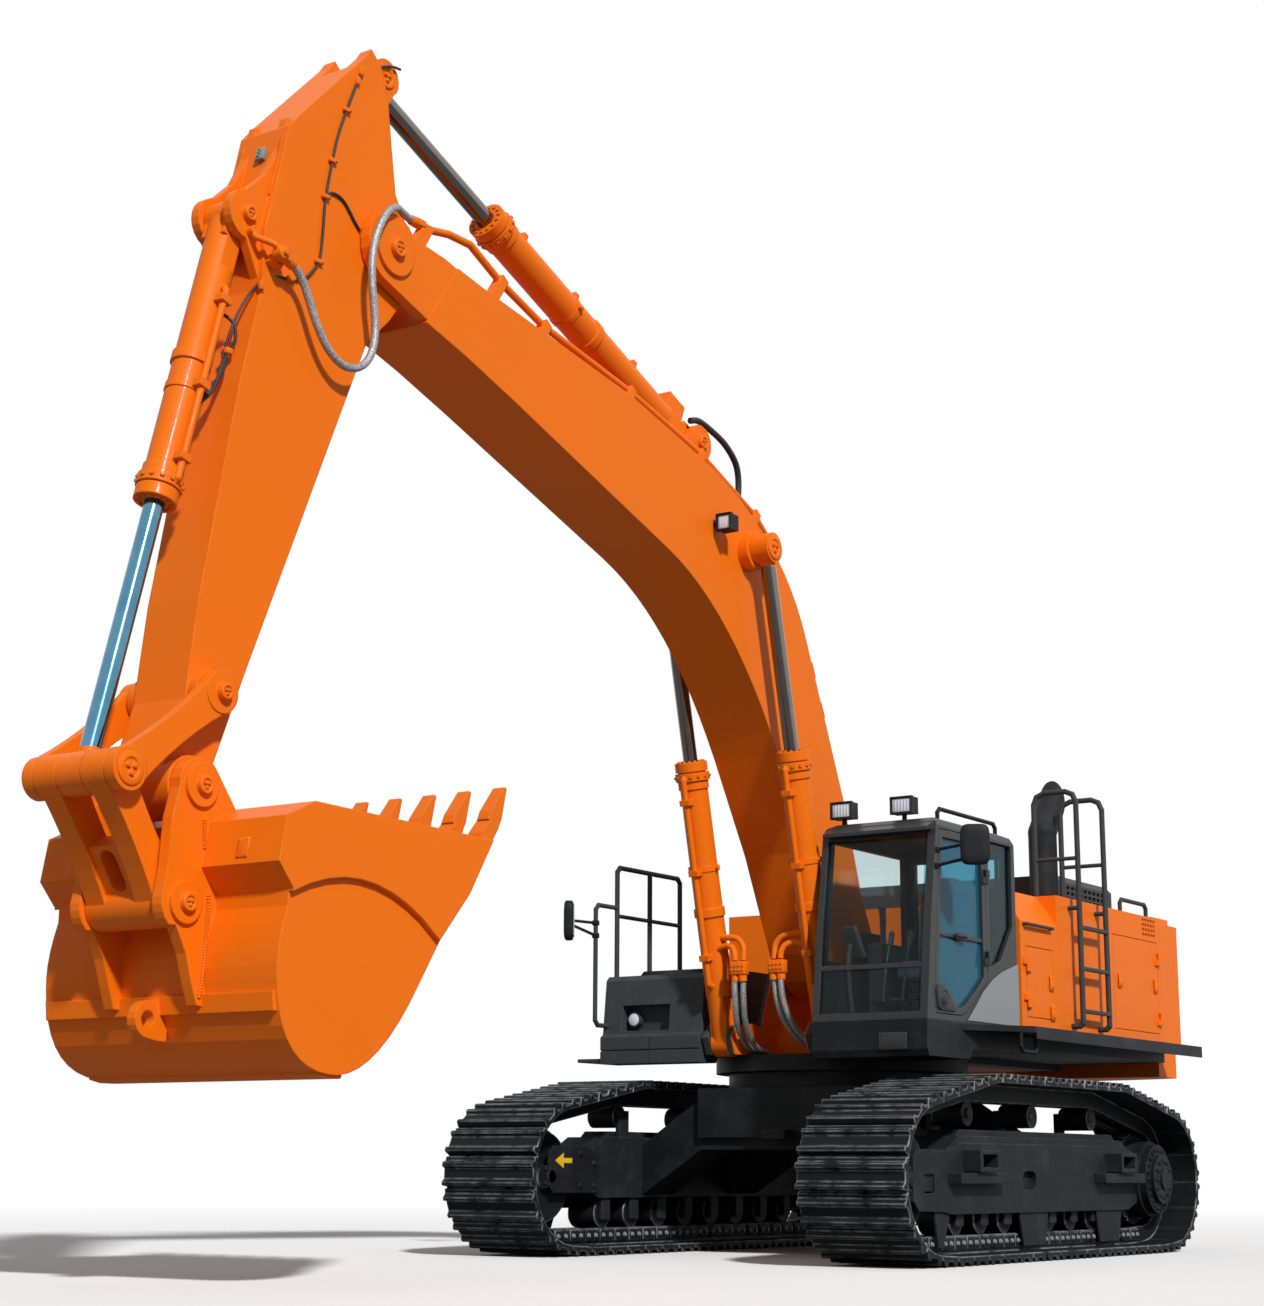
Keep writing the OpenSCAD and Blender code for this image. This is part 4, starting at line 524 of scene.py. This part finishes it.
mesh = bmesh.new()
addPlate(mesh, outward, [(x, -z) for x, z in trim["bezel"]], trim["bezelThick"], trim["edge"])
addTurned(mesh, aim(trim["bulgeAt"], (0, 1, 0)), trim["bulge"], 32)
addBlock(mesh, move(trim["handleAt"]), trim["handle"], trim["edge"])
x, z = trim["handleAt"][::2]
addPipe(mesh, smoothLine([(x + along, out, z) for along, out in trim["bar"]]), trim["barRadius"], 3)
addPiece("doorTrim", mesh, "rubber", "cab_door")

# blank plate on the front of the cab's base, held by four bolts
basePlate = dict(middle=(1.698, 1.40, 1.683), size=(0.012, 0.25, 0.135), edge=0.005, face=1.703,
    across=(-0.105, 0.105), lift=(-0.05, 0.05), bolt=0.008)
mesh = bmesh.new()
addBlock(mesh, move(basePlate["middle"]), basePlate["size"], basePlate["edge"])
y, z = basePlate["middle"][1:]
for across in basePlate["across"]:
    for lift in basePlate["lift"]:
        addBolt(mesh, aim((basePlate["face"], y + across, z + lift), (1, 0, 0)), basePlate["bolt"])
addPiece("basePlate", mesh, "rubber", "upper")

# paddle latches on the left side, each with a round lock
latches = dict(spots=dict(left_front_door=[(-0.648, 2.275), (-0.66, 2.02)],
    left_rear_door=[(-2.17, 2.405), (-3.03, 2.405)]), plateFace=1.714, plate=(0.075, 0.012, 0.13),
    paddleFace=1.721, paddleDrop=0.012, paddle=(0.048, 0.012, 0.07), edge=0.005,
    lockFace=1.719, lockLift=0.045, lock=[(0, 0.006), (0.011, 0.006), (0.013, 0), (0, 0)])
for body, spots in latches["spots"].items():
    mesh = bmesh.new()
    for x, z in spots:
        addBlock(mesh, move((x, latches["plateFace"], z)), latches["plate"], latches["edge"])
        paddle = move((x, latches["paddleFace"], z - latches["paddleDrop"]))
        addBlock(mesh, paddle, latches["paddle"], latches["edge"])
        lock = aim((x, latches["lockFace"], z + latches["lockLift"]), (0, 1, 0))
        addTurned(mesh, lock, latches["lock"], 14)
    addPiece("latches." + body, mesh, "orange_paint", body)

# bolt rings of the final drives (height, radius, count, size), caps of the idlers
drives = dict(gauge=1.65, driveAt=(-2.295, 1.95, 0.632), rings=[(0, 0.258, 24, 0.018),
    (0.045, 0.16, 12, 0.018)], plugAt=(0.12, 0.0, 0.045), plug=[(0, 0.02), (0.02, 0.02), (0.024, 0), (0, 0)],
    idlerAt=(2.295, 0.632), capOut=0.195,
    cap=[(0, 0.022), (0.05, 0.022), (0.062, 0.014), (0.066, 0), (0, 0)], ringIn=0.08, ringOut=0.05,
    bolts=4, bolt=0.012)
mesh = bmesh.new()
for side in (1, -1):
    drive = aim(mirrored([drives["driveAt"]], side)[0], (0, side, 0))
    for lift, radius, count, size in drives["rings"]:
        addBoltRing(mesh, drive @ move((0, 0, lift)), radius, count, size)
    addTurned(mesh, drive @ move(drives["plugAt"]), drives["plug"], 14)
    x, z = drives["idlerAt"]
    for inner in (1, -1):
        cap = aim((x, drives["gauge"] * side + drives["capOut"] * inner, z), (0, inner, 0))
        addTurned(mesh, cap, drives["cap"], 28)
        radius = drives["ringIn" if inner * side < 0 else "ringOut"]
        addBoltRing(mesh, cap, radius, drives["bolts"], drives["bolt"], pi / 4)
addPiece("driveBolts", mesh, "black_metal", "undercarriage")

# link plates and their bolts along the lower run of the tracks
links = dict(gauge=1.65, pitch=0.2167, count=20, plate=(0.19, 0.014, 0.10), edge=0.005, out=0.142,
    lift=0.152, bolt=0.017, boltGap=(-0.052, 0.052), boltOut=0.006)
plates, bolts = bmesh.new(), bmesh.new()
for side in (1, -1):
    for out in (1, -1):
        y = links["gauge"] * side + links["out"] * out
        for step in range(links["count"]):
            x = (step - (links["count"] - 1) / 2) * links["pitch"]
            addBlock(plates, move((x, y, links["lift"])), links["plate"], links["edge"])
            for along in links["boltGap"]:
                spot = (x + along, y + links["boltOut"] * out, links["lift"])
                addBolt(bolts, aim(spot, (0, out, 0)), links["bolt"])
addPiece("linkPlates", plates, "track_steel", "undercarriage")
addPiece("linkBolts", bolts, "pale_paint", "undercarriage")

# cheek plates inside the idlers, each with a plain arrow that points ahead
cheek = dict(face=1.433, thick=0.022, edge=0.006, outline=[(1.62, 0.50), (2.28, 0.50), (2.34, 0.56),
    (2.34, 0.82), (2.27, 0.88), (1.80, 0.88), (1.62, 0.80)], bolt=0.02,
    bolts=[(1.70, 0.56), (1.70, 0.74), (1.90, 0.56), (1.90, 0.82)], arrowThick=0.0015,
    arrow=[(2.02, 0.742), (2.14, 0.742), (2.14, 0.70), (2.26, 0.762), (2.14, 0.824), (2.14, 0.782),
    (2.02, 0.782)])
plates, arrows = bmesh.new(), bmesh.new()
for side in (1, -1):
    back = (cheek["face"] + cheek["thick"]) * side
    inner = Matrix(((1, 0, 0, 0), (0, 0, -side, back), (0, side, 0, 0), (0, 0, 0, 1)))
    addPlate(plates, inner, [(x, z * side) for x, z in cheek["outline"]], cheek["thick"], cheek["edge"])
    for x, z in cheek["bolts"]:
        addBolt(plates, aim((x, cheek["face"] * side, z), (0, -side, 0)), cheek["bolt"])
    mark = inner @ move((0, 0, cheek["thick"]))
    addPlate(arrows, mark, [(x, z * side) for x, z in cheek["arrow"]], cheek["arrowThick"])
addPiece("idlerCheeks", plates, "black_metal", "undercarriage")
addPiece("arrows", arrows, "marker_yellow", "undercarriage")

# blank riveted plate on the back of the bucket
badge = dict(point=(8.302, 0.686, 2.495), facing=(0.98, 0, 0.19), size=(0.09, 0.12, 0.008),
    edge=0.002, rivetRows=(-0.034, 0.034), rivetColumns=(-0.048, 0.048), rivetLift=0.003,
    rivet=[(0, 0.006), (0.004, 0.005), (0.007, 0), (0, 0)])
mesh = bmesh.new()
plate = aim(badge["point"], badge["facing"])
addBlock(mesh, plate, badge["size"], badge["edge"])
for x in badge["rivetRows"]:
    for y in badge["rivetColumns"]:
        rivet = plate @ move((x, y, badge["rivetLift"]))
        addTurned(mesh, rivet, badge["rivet"], 10)
addPiece("bucketPlate", mesh, "tooth_steel", "bucket")

# grease block with three nipples on the front of the arm
nipples = dict(point=(7.692, 0.031, 7.175), facing=(0.97, 0, 0.22), size=(0.07, 0.09, 0.036),
    edge=0.006, rows=(-0.025, 0.0, 0.025), nipple=[(0, 0.02), (0.006, 0.018), (0.008, 0), (0, 0)])
mesh = bmesh.new()
block = aim(nipples["point"], nipples["facing"])
high = nipples["size"][2]
addBlock(mesh, block @ move((0, 0, high / 2)), nipples["size"], nipples["edge"])
for y in nipples["rows"]:
    addTurned(mesh, block @ move((0, y, high)), nipples["nipple"], 12)
addPiece("armGrease", mesh, "pale_paint", "arm")

# mirrors: rounded housings turned towards the seat, on bars from the cab and the front rail
mirrors = dict(housings=dict(left=((1.555, 2.08, 3.195), 0.53, (0.10, 0.23, 0.32)),
    right=((1.70, -1.72, 2.79), -0.98, (0.09, 0.21, 0.34))), square=5.0, bars=dict(
    left=[((1.48, 1.70, 3.06), (1.56, 2.06, 3.10)), ((1.465, 1.70, 3.19), (1.56, 2.06, 3.21))],
    right=[((1.41, -1.64, 2.79), (1.69, -1.70, 2.79)), ((1.41, -1.64, 2.68), (1.67, -1.70, 2.75))]),
    barRadius=0.013, foot=(0.05, 0.05, 0.045), footEdge=0.006, faceThick=0.008,
    faceShare=(0.76, 0.8), faceEdge=0.003)
faces = bmesh.new()
for word, (point, turn, size) in mirrors["housings"].items():
    place = move(point) @ Matrix.Rotation(turn, 4, "Z")
    mesh = bmesh.new()
    addPad(mesh, place, size, mirrors["square"])
    for bar in mirrors["bars"][word]:
        addPipe(mesh, list(bar), mirrors["barRadius"], 3)
        addBlock(mesh, move(bar[0]), mirrors["foot"], mirrors["footEdge"])
    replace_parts(addPiece("mirror." + word, mesh, "black_metal", "upper"), "mirrors")
    wide, high = size[1] * mirrors["faceShare"][0], size[2] * mirrors["faceShare"][1]
    glassAt = place @ move((-size[0] / 2, 0, 0))
    addBlock(faces, glassAt, (mirrors["faceThick"], wide, high), mirrors["faceEdge"])
addPiece("mirrorFaces", faces, "mirror_glass", "upper")
print("fittings made:", len(made))


# one value in a shader, so that shader maths reads as an expression
class Value:
    def __init__(self, finish, socket):
        self.finish, self.socket = finish, socket

    def calc(self, kind, other, swap=False):
        first, second = (other, self) if swap else (self, other)
        return self.finish.add("Math", {"operation": kind}, {0: first, 1: second})

    def __add__(self, other):
        return self.calc("ADD", other)

    def __radd__(self, other):
        return self.calc("ADD", other)

    def __sub__(self, other):
        return self.calc("SUBTRACT", other)

    def __rsub__(self, other):
        return self.calc("SUBTRACT", other, True)

    def __mul__(self, other):
        return self.calc("MULTIPLY", other)

    def __rmul__(self, other):
        return self.calc("MULTIPLY", other)


# a material or world being put together
class Finish:
    def __init__(self, owner):
        self.owner = owner
        owner.use_nodes = True
        self.tree = owner.node_tree
        self.tree.nodes.clear()
        self.place = self.add("TexCoord", {}, {}, "Object")

    def add(self, kind, settings, sockets, out=0):
        node = self.tree.nodes.new("ShaderNode" + kind)
        for key, value in settings.items():
            if key == "stops":
                while len(node.color_ramp.elements) < len(value):
                    node.color_ramp.elements.new(0.5)
                for stop, (spot, shade) in zip(node.color_ramp.elements, value):
                    stop.position, stop.color = spot, (shade, shade, shade, 1)
            else:
                setattr(node, key, value)
        for key, value in sockets.items():
            if isinstance(value, Value):
                self.tree.links.new(value.socket, node.inputs[key])
            else:
                node.inputs[key].default_value = value
        return Value(self, node.outputs[out]) if node.outputs else self.owner

    def noise(self, scale, detail=3.0, rough=0.55):
        sockets = {"Vector": self.place, "Scale": scale, "Detail": detail, "Roughness": rough}
        return self.add("TexNoise", {}, sockets)

    def cells(self, scale):
        return self.add("TexVoronoi", {}, {"Vector": self.place, "Scale": scale}, "Distance")

    def soften(self, radius):
        return self.add("Bevel", {"samples": 4}, {"Radius": radius})

    def test(self, kind, value, limit):
        return self.add("Math", {"operation": kind}, {0: value, 1: limit})

    def ramp(self, value, low, high):
        return self.add("ValToRGB", {"stops": [(low, 0.0), (high, 1.0)]}, {0: value})

    def blend(self, factor, one, two):
        one, two = (shade if isinstance(shade, Value) else tone(*shade) for shade in (one, two))
        return self.add("Mix", {"data_type": "RGBA"}, {0: factor, 6: one, 7: two}, 2)

    # where the rounded normal leaves the flat one there is an edge
    def edges(self, soft, low, high):
        flat = self.add("NewGeometry", {}, {}, "Normal")
        same = self.add("VectorMath", {"operation": "DOT_PRODUCT"}, {0: soft, 1: flat}, "Value")
        return self.ramp(1 - same, low, high)

    def bump(self, height, strength, distance, soft=None):
        sockets = {"Height": height, "Strength": strength, "Distance": distance}
        if soft:
            sockets["Normal"] = soft
        return self.add("Bump", {}, sockets)

    def close(self, sockets):
        return self.add("OutputMaterial", {}, {"Surface": self.add("BsdfPrincipled", {}, sockets)})


def tone(red, green, blue):
    return (red, green, blue, 1.0)


# grain of each kind of finish: noises are scale, detail, roughness; bands are where a ramp starts and ends
sprayed = dict(cloud=(0.9, 4.0), speck=(14.0, 6.0, 0.7), speckBand=(0.56, 0.74), edgeBand=(0.01, 0.12),
    patch=(5.0, 5.0, 0.65), patchBand=(0.42, 0.62), cloudRough=0.12, speckRough=0.15, depth=0.004)
rolled = dict(cloud=(2.2, 5.0, 0.6), pits=(38.0, 5.0, 0.7), edgeBand=(0.01, 0.10), patch=(7.0, 4.0, 0.6),
    patchBand=(0.35, 0.6), dust=(3.5, 6.0, 0.7), dustBand=(0.48, 0.72), cloudRough=0.2,
    rubRough=0.12, gloss=0.12, depth=0.006)
ground = dict(streak=(6.0, 4.0, 0.6), fine=(240.0, 2.0), streakRough=0.06, coatRough=0.3, gloss=0.2,
    wave=0.03, depth=0.001)
woven = dict(cloud=(5.0, 4.0), strandBand=(0.1, 0.6), metal=0.6, cloudMetal=0.2, cloudRough=0.15,
    wave=0.5, depth=0.004)
glassy = dict(smear=(2.5, 4.0), sideFrom=1.6, rough=0.01, smearRough=0.03, bend=1.18)
moulded = dict(cloud=(3.0, 4.0), cloudRough=0.1, depth=0.002)


# sprayed paint on plate: faint waves, specks of dust, paler rubbed edges, and a core strip where asked
def paint(name, look):
    shader = Finish(bpy.data.materials.new(name))
    soft = shader.soften(look["round"])
    cloud = shader.noise(*sprayed["cloud"])
    grain = shader.noise(look["peel"], 2.0)
    speck = shader.ramp(shader.noise(*sprayed["speck"]), *sprayed["speckBand"])
    patch = shader.ramp(shader.noise(*sprayed["patch"]), *sprayed["patchBand"])
    rub = shader.edges(soft, *sprayed["edgeBand"]) * patch
    body = shader.blend(cloud, look["deep"], look["main"])
    if "core" in look:
        across = shader.add("SeparateXYZ", {}, {0: shader.place}, "Y")
        distance = shader.add("Math", {"operation": "ABSOLUTE"}, {0: across})
        body = shader.blend(shader.test("LESS_THAN", distance, look["coreReach"]), body, look["core"])
    body = shader.blend(speck * look["dust"], body, look["dustTone"])
    body = shader.blend(rub * look["rub"], body, look["edge"])
    rough = look["rough"] + sprayed["cloudRough"] * cloud + sprayed["speckRough"] * speck
    return shader.close({"Base Color": body, "Roughness": rough, "Coat Weight": look["coat"],
        "Specular IOR Level": look["gloss"],
        "Normal": shader.bump(grain, look["wave"], sprayed["depth"], soft)})


# cast and rolled steel of the tracks: black coat, patches of dust, bare worn edges
def steel(name, look):
    shader = Finish(bpy.data.materials.new(name))
    soft = shader.soften(look["round"])
    cloud = shader.noise(*rolled["cloud"])
    pits = shader.noise(*rolled["pits"])
    patch = shader.ramp(shader.noise(*rolled["patch"]), *rolled["patchBand"])
    rub = shader.edges(soft, *rolled["edgeBand"]) * patch
    dust = shader.ramp(shader.noise(*rolled["dust"]), *rolled["dustBand"])
    body = shader.blend(cloud, look["deep"], look["main"])
    body = shader.blend(dust * look["dust"], body, look["dustTone"])
    body = shader.blend(rub * look["rub"], body, look["edge"])
    rough = look["rough"] + rolled["cloudRough"] * cloud - rolled["rubRough"] * rub
    return shader.close({"Base Color": body, "Roughness": rough, "Metallic": look["metal"] * rub,
        "Specular IOR Level": rolled["gloss"],
        "Normal": shader.bump(pits, look["pit"], rolled["depth"], soft)})


# ground and plated rods: fine grain, and an eye painted as the barrel is
def plated(name, look, eye):
    shader = Finish(bpy.data.materials.new(name))
    streak = shader.noise(*ground["streak"])
    fine = shader.noise(*ground["fine"])
    level = shader.add("VectorMath", {"operation": "MULTIPLY"}, {0: shader.place, 1: (1, 0, 1)})
    away = shader.add("VectorMath", {"operation": "DISTANCE"}, {0: level, 1: (eye.x, 0, eye.z)}, "Value")
    painted = shader.test("LESS_THAN", away, look["eye"])
    rod = shader.blend(streak, look["deep"], look["main"])
    coat = shader.blend(streak, look["coatDeep"], look["coatMain"])
    rough = look["rough"] + ground["streakRough"] * streak + ground["coatRough"] * painted
    return shader.close({"Base Color": shader.blend(painted, rod, coat), "Metallic": 1 - painted,
        "Roughness": rough, "Specular IOR Level": ground["gloss"],
        "Normal": shader.bump(fine, ground["wave"], ground["depth"])})


# hose in a woven steel sleeve
def braid(name, look):
    shader = Finish(bpy.data.materials.new(name))
    cells = shader.cells(look["grain"])
    cloud = shader.noise(*woven["cloud"])
    strand = shader.ramp(cells, *woven["strandBand"])
    body = shader.blend(strand, look["main"], look["deep"])
    return shader.close({"Base Color": body, "Metallic": woven["metal"] - woven["cloudMetal"] * cloud,
        "Roughness": look["rough"] + woven["cloudRough"] * cloud,
        "Normal": shader.bump(cells, woven["wave"], woven["depth"])})


# glass, lenses and mirrors, faintly smeared, and bluer on the cab's left where asked
def glazing(name, look):
    shader = Finish(bpy.data.materials.new(name))
    smear = shader.noise(*glassy["smear"])
    body = shader.blend(smear, look["deep"], look["main"])
    if "side" in look:
        across = shader.add("SeparateXYZ", {}, {0: shader.place}, "Y")
        body = shader.blend(shader.test("GREATER_THAN", across, glassy["sideFrom"]), body, look["side"])
    return shader.close({"Base Color": body, "Roughness": glassy["rough"] + glassy["smearRough"] * smear,
        "IOR": glassy["bend"], "Transmission Weight": look["clear"]})


# moulded plastic, rubber and woven seat cover share a grained surface
def grained(name, look):
    shader = Finish(bpy.data.materials.new(name))
    soft = shader.soften(look["round"])
    cloud = shader.noise(*moulded["cloud"])
    cells = shader.cells(look["grain"])
    body = shader.blend(cloud, look["deep"], look["main"])
    return shader.close({"Base Color": body, "Roughness": look["rough"] + moulded["cloudRough"] * cloud,
        "Normal": shader.bump(cells, look["depth"], moulded["depth"], soft)})


# the colour written is about the colour seen in the sun
orange = dict(main=(0.86, 0.172, 0.004), deep=(0.81, 0.152, 0.003), edge=(0.93, 0.28, 0.03),
    dustTone=(0.66, 0.22, 0.05), dust=0.2, rub=0.5, rough=0.42, coat=0.02, gloss=0.14,
    peel=90.0, wave=0.05, round=0.012)
dark = dict(main=(0.050, 0.056, 0.060), deep=(0.036, 0.041, 0.045), edge=(0.15, 0.155, 0.16),
    dustTone=(0.13, 0.125, 0.115), dust=0.3, rub=0.4, rough=0.5, coat=0.0, gloss=0.12,
    peel=110.0, wave=0.08, round=0.010)
looks = {
    "orange_paint": (paint, orange),
    "dark_paint": (paint, dark),
    "deck_paint": (paint, dict(dark, core=orange["deep"], coreReach=0.36)),
    "cab_paint": (paint, dict(main=(0.026, 0.028, 0.030), deep=(0.018, 0.020, 0.022),
        edge=(0.10, 0.105, 0.11), dustTone=(0.08, 0.08, 0.075), dust=0.2, rub=0.4, rough=0.36,
        coat=0.05, gloss=0.3, peel=110.0, wave=0.04, round=0.010)),
    "pale_paint": (paint, dict(main=(0.24, 0.255, 0.27), deep=(0.21, 0.225, 0.24),
        edge=(0.45, 0.46, 0.47), dustTone=(0.22, 0.21, 0.19), dust=0.2, rub=0.3, rough=0.35,
        coat=0.02, gloss=0.4, peel=120.0, wave=0.04, round=0.006)),
    "marker_yellow": (paint, dict(main=(0.80, 0.50, 0.02), deep=(0.72, 0.43, 0.02),
        edge=(0.80, 0.55, 0.08), dustTone=(0.40, 0.30, 0.10), dust=0.4, rub=0.3, rough=0.5,
        coat=0.0, gloss=0.3, peel=80.0, wave=0.03, round=0.001)),
    "tooth_steel": (paint, dict(orange, deep=(0.72, 0.140, 0.005), edge=(0.75, 0.30, 0.08), dust=0.4, rub=0.8,
        wave=0.12)),
    "track_steel": (steel, dict(main=(0.011, 0.013, 0.015), deep=(0.005, 0.006, 0.007),
        edge=(0.40, 0.42, 0.44), dustTone=(0.02, 0.021, 0.022), dust=0.3, rub=0.9, rough=0.45,
        metal=0.3, pit=0.25, round=0.02)),
    "black_metal": (steel, dict(main=(0.014, 0.016, 0.018), deep=(0.008, 0.009, 0.011),
        edge=(0.09, 0.095, 0.10), dustTone=(0.07, 0.07, 0.07), dust=0.25, rub=0.4, rough=0.38,
        metal=0.3, pit=0.08, round=0.008)),
    "frame_paint": (steel, dict(main=(0.018, 0.021, 0.023), deep=(0.011, 0.013, 0.015),
        edge=(0.13, 0.135, 0.14), dustTone=(0.06, 0.06, 0.06), dust=0.3, rub=0.4, rough=0.5,
        metal=0.2, pit=0.08, round=0.010)),
    "tinted_glass": (glazing, dict(main=(0.78, 0.85, 0.85), deep=(0.70, 0.80, 0.81),
        side=(0.16, 0.50, 0.64), clear=1.0)),
    "door_glass": (glazing, dict(main=(0.05, 0.33, 0.48), deep=(0.04, 0.28, 0.42), clear=0.75)),
    "lamp_lens": (glazing, dict(main=(0.80, 0.86, 0.92), deep=(0.66, 0.73, 0.80), clear=0.15)),
    "mirror_glass": (glazing, dict(main=(0.55, 0.58, 0.60), deep=(0.45, 0.48, 0.50), clear=0.0)),
    "hose_braid": (braid, dict(main=(0.72, 0.72, 0.73), deep=(0.22, 0.22, 0.225), grain=130.0,
        rough=0.4)),
    "rubber": (grained, dict(main=(0.016, 0.017, 0.018), deep=(0.009, 0.009, 0.010), rough=0.5,
        grain=180.0, depth=0.1, round=0.004)),
    "seat_fabric": (grained, dict(main=(0.14, 0.22, 0.25), deep=(0.09, 0.15, 0.17), rough=0.8,
        grain=220.0, depth=0.3, round=0.02)),
    "cab_plastic": (grained, dict(main=(0.06, 0.065, 0.07), deep=(0.04, 0.043, 0.047), rough=0.5,
        grain=160.0, depth=0.15, round=0.01)),
}
finishes = {name: kind(name, look) for name, (kind, look) in looks.items()}

# the rods: the cylinder, the plating and how far the painted eye reaches; the bucket rod's blue is a painted
# reflection of sky
rod = dict(coatMain=orange["main"], coatDeep=orange["deep"], rough=0.12)
grey = dict(rod, main=(0.24, 0.22, 0.20), deep=(0.17, 0.155, 0.14))
# painted reflection: the bucket rod's blue plating stands in for blue sky seen in the chrome, not the rod's
# own colour
blue = dict(rod, main=(0.15, 0.33, 0.46), deep=(0.05, 0.18, 0.30))
rodLooks = dict(boom_cylinder_rods=("boom", grey, 0.155), arm_cylinder_rod=("arm", grey, 0.17),
    bucket_cylinder_rod=("bucket", blue, 0.16))
for name, (cylinder, look, reach) in rodLooks.items():
    eye = nodes[name].matrix_world.inverted() @ eyes[cylinder]
    finishes[name] = plated("rod_chrome." + cylinder, dict(look, eye=reach), eye)
print("finishes:", len(finishes))

# which finish each solid of the frame takes; the rest are orange
coats = {
    "track_steel": ["track_left", "track_right", "idlers", "sprockets", "bottom_rollers", "carrier_rollers"],
    "black_metal": ["car_body", "final_drives", "swing_ring_lower", "swing_ring_upper", "cab_lamps",
        "roof_rail", "mirrors", "boom_lamp", "catwalks", "cab_base"],
    "frame_paint": ["track_frames", "track_steps", "exhaust_stack"],
    "deck_paint": ["revolving_frame"],
    "dark_paint": ["engine_block", "engine_hood", "tool_box", "fuel_tank", "ladder", "handrails"],
    "pale_paint": ["cab_panel"],
    "hose_braid": ["arm_hose_left", "arm_hose_right"],
    "tooth_steel": ["bucket_teeth"],
    "cab_paint": ["cab_shell", "cab_door"],
    "tinted_glass": ["cab_glass"],
    "door_glass": ["cab_door_glass"],
    "seat_fabric": ["seat"],
    "cab_plastic": ["cab_controls"],
}
coatOf = {node: coat for coat, names in coats.items() for node in names}
coatOf.update({name: name for name in rodLooks})
for name, solid in nodes.items():
    solid.data.materials.clear()
    solid.data.materials.append(finishes[coatOf.get(name, "orange_paint")])
for piece, finish in made:
    piece.data.materials.append(finishes[finish])
print("coats on", len(nodes), "solids and", len(made), "pieces")

# pale floor that fades into the white backdrop; what it throws back on the part is dimmer than it looks
stage = dict(reach=160.0, clear=9.0, fade=26.0, tone=(0.94, 0.94, 0.94), bounce=(0.30, 0.30, 0.30))
mesh = bmesh.new()
bmesh.ops.create_grid(mesh, x_segments=1, y_segments=1, size=stage["reach"])
floorMesh = bpy.data.meshes.new("floor")
mesh.to_mesh(floorMesh)
mesh.free()
floor = bpy.data.objects.new("floor", floorMesh)
scene.collection.objects.link(floor)
shader = Finish(bpy.data.materials.new("floor"))
far = shader.add("VectorMath", {"operation": "LENGTH"}, {0: shader.place}, "Value")
spread = shader.add("MapRange", {}, {"Value": far, "From Min": stage["clear"], "From Max": stage["fade"]})
ray = shader.add("LightPath", {}, {}, "Is Camera Ray")
pale = shader.add("BsdfDiffuse", {}, {"Color": tone(*stage["tone"])})
plain = shader.add("BsdfDiffuse", {}, {"Color": tone(*stage["bounce"])})
mat = shader.add("MixShader", {}, {0: ray, 1: plain, 2: pale})
white = shader.add("Emission", {}, {"Color": tone(1, 1, 1), "Strength": 1.0})
faded = shader.add("MixShader", {}, {0: ray * spread, 1: mat, 2: white})
floorMesh.materials.append(shader.add("OutputMaterial", {}, {"Surface": faded}))

# one soft sun high on the left, and an even sky that looks brighter than it lights
light = dict(sun=3.4, size=4.0, towards=(0.45, 0.67, 0.59), sky=0.27)
sun = bpy.data.objects.new("sun", bpy.data.lights.new("sun", "SUN"))
sun.data.energy = light["sun"]
sun.data.angle = radians(light["size"])
sun.rotation_mode = "QUATERNION"
sun.rotation_quaternion = Vector(light["towards"]).to_track_quat("Z", "Y")
scene.collection.objects.link(sun)
scene.world = bpy.data.worlds.new("studio")
shader = Finish(scene.world)
rays = ("Is Camera Ray", "Is Glossy Ray", "Is Transmission Ray")
seen, glossy, through = (shader.add("LightPath", {}, {}, name) for name in rays)
level = shader.add("MapRange", {}, {"Value": seen + glossy + through, "To Min": light["sky"], "To Max": 1.0})
backdrop = shader.add("Background", {}, {"Color": tone(1, 1, 1), "Strength": level})
shader.add("OutputWorld", {}, {"Surface": backdrop})
scene.view_settings.view_transform = "Standard"
print("stage set")
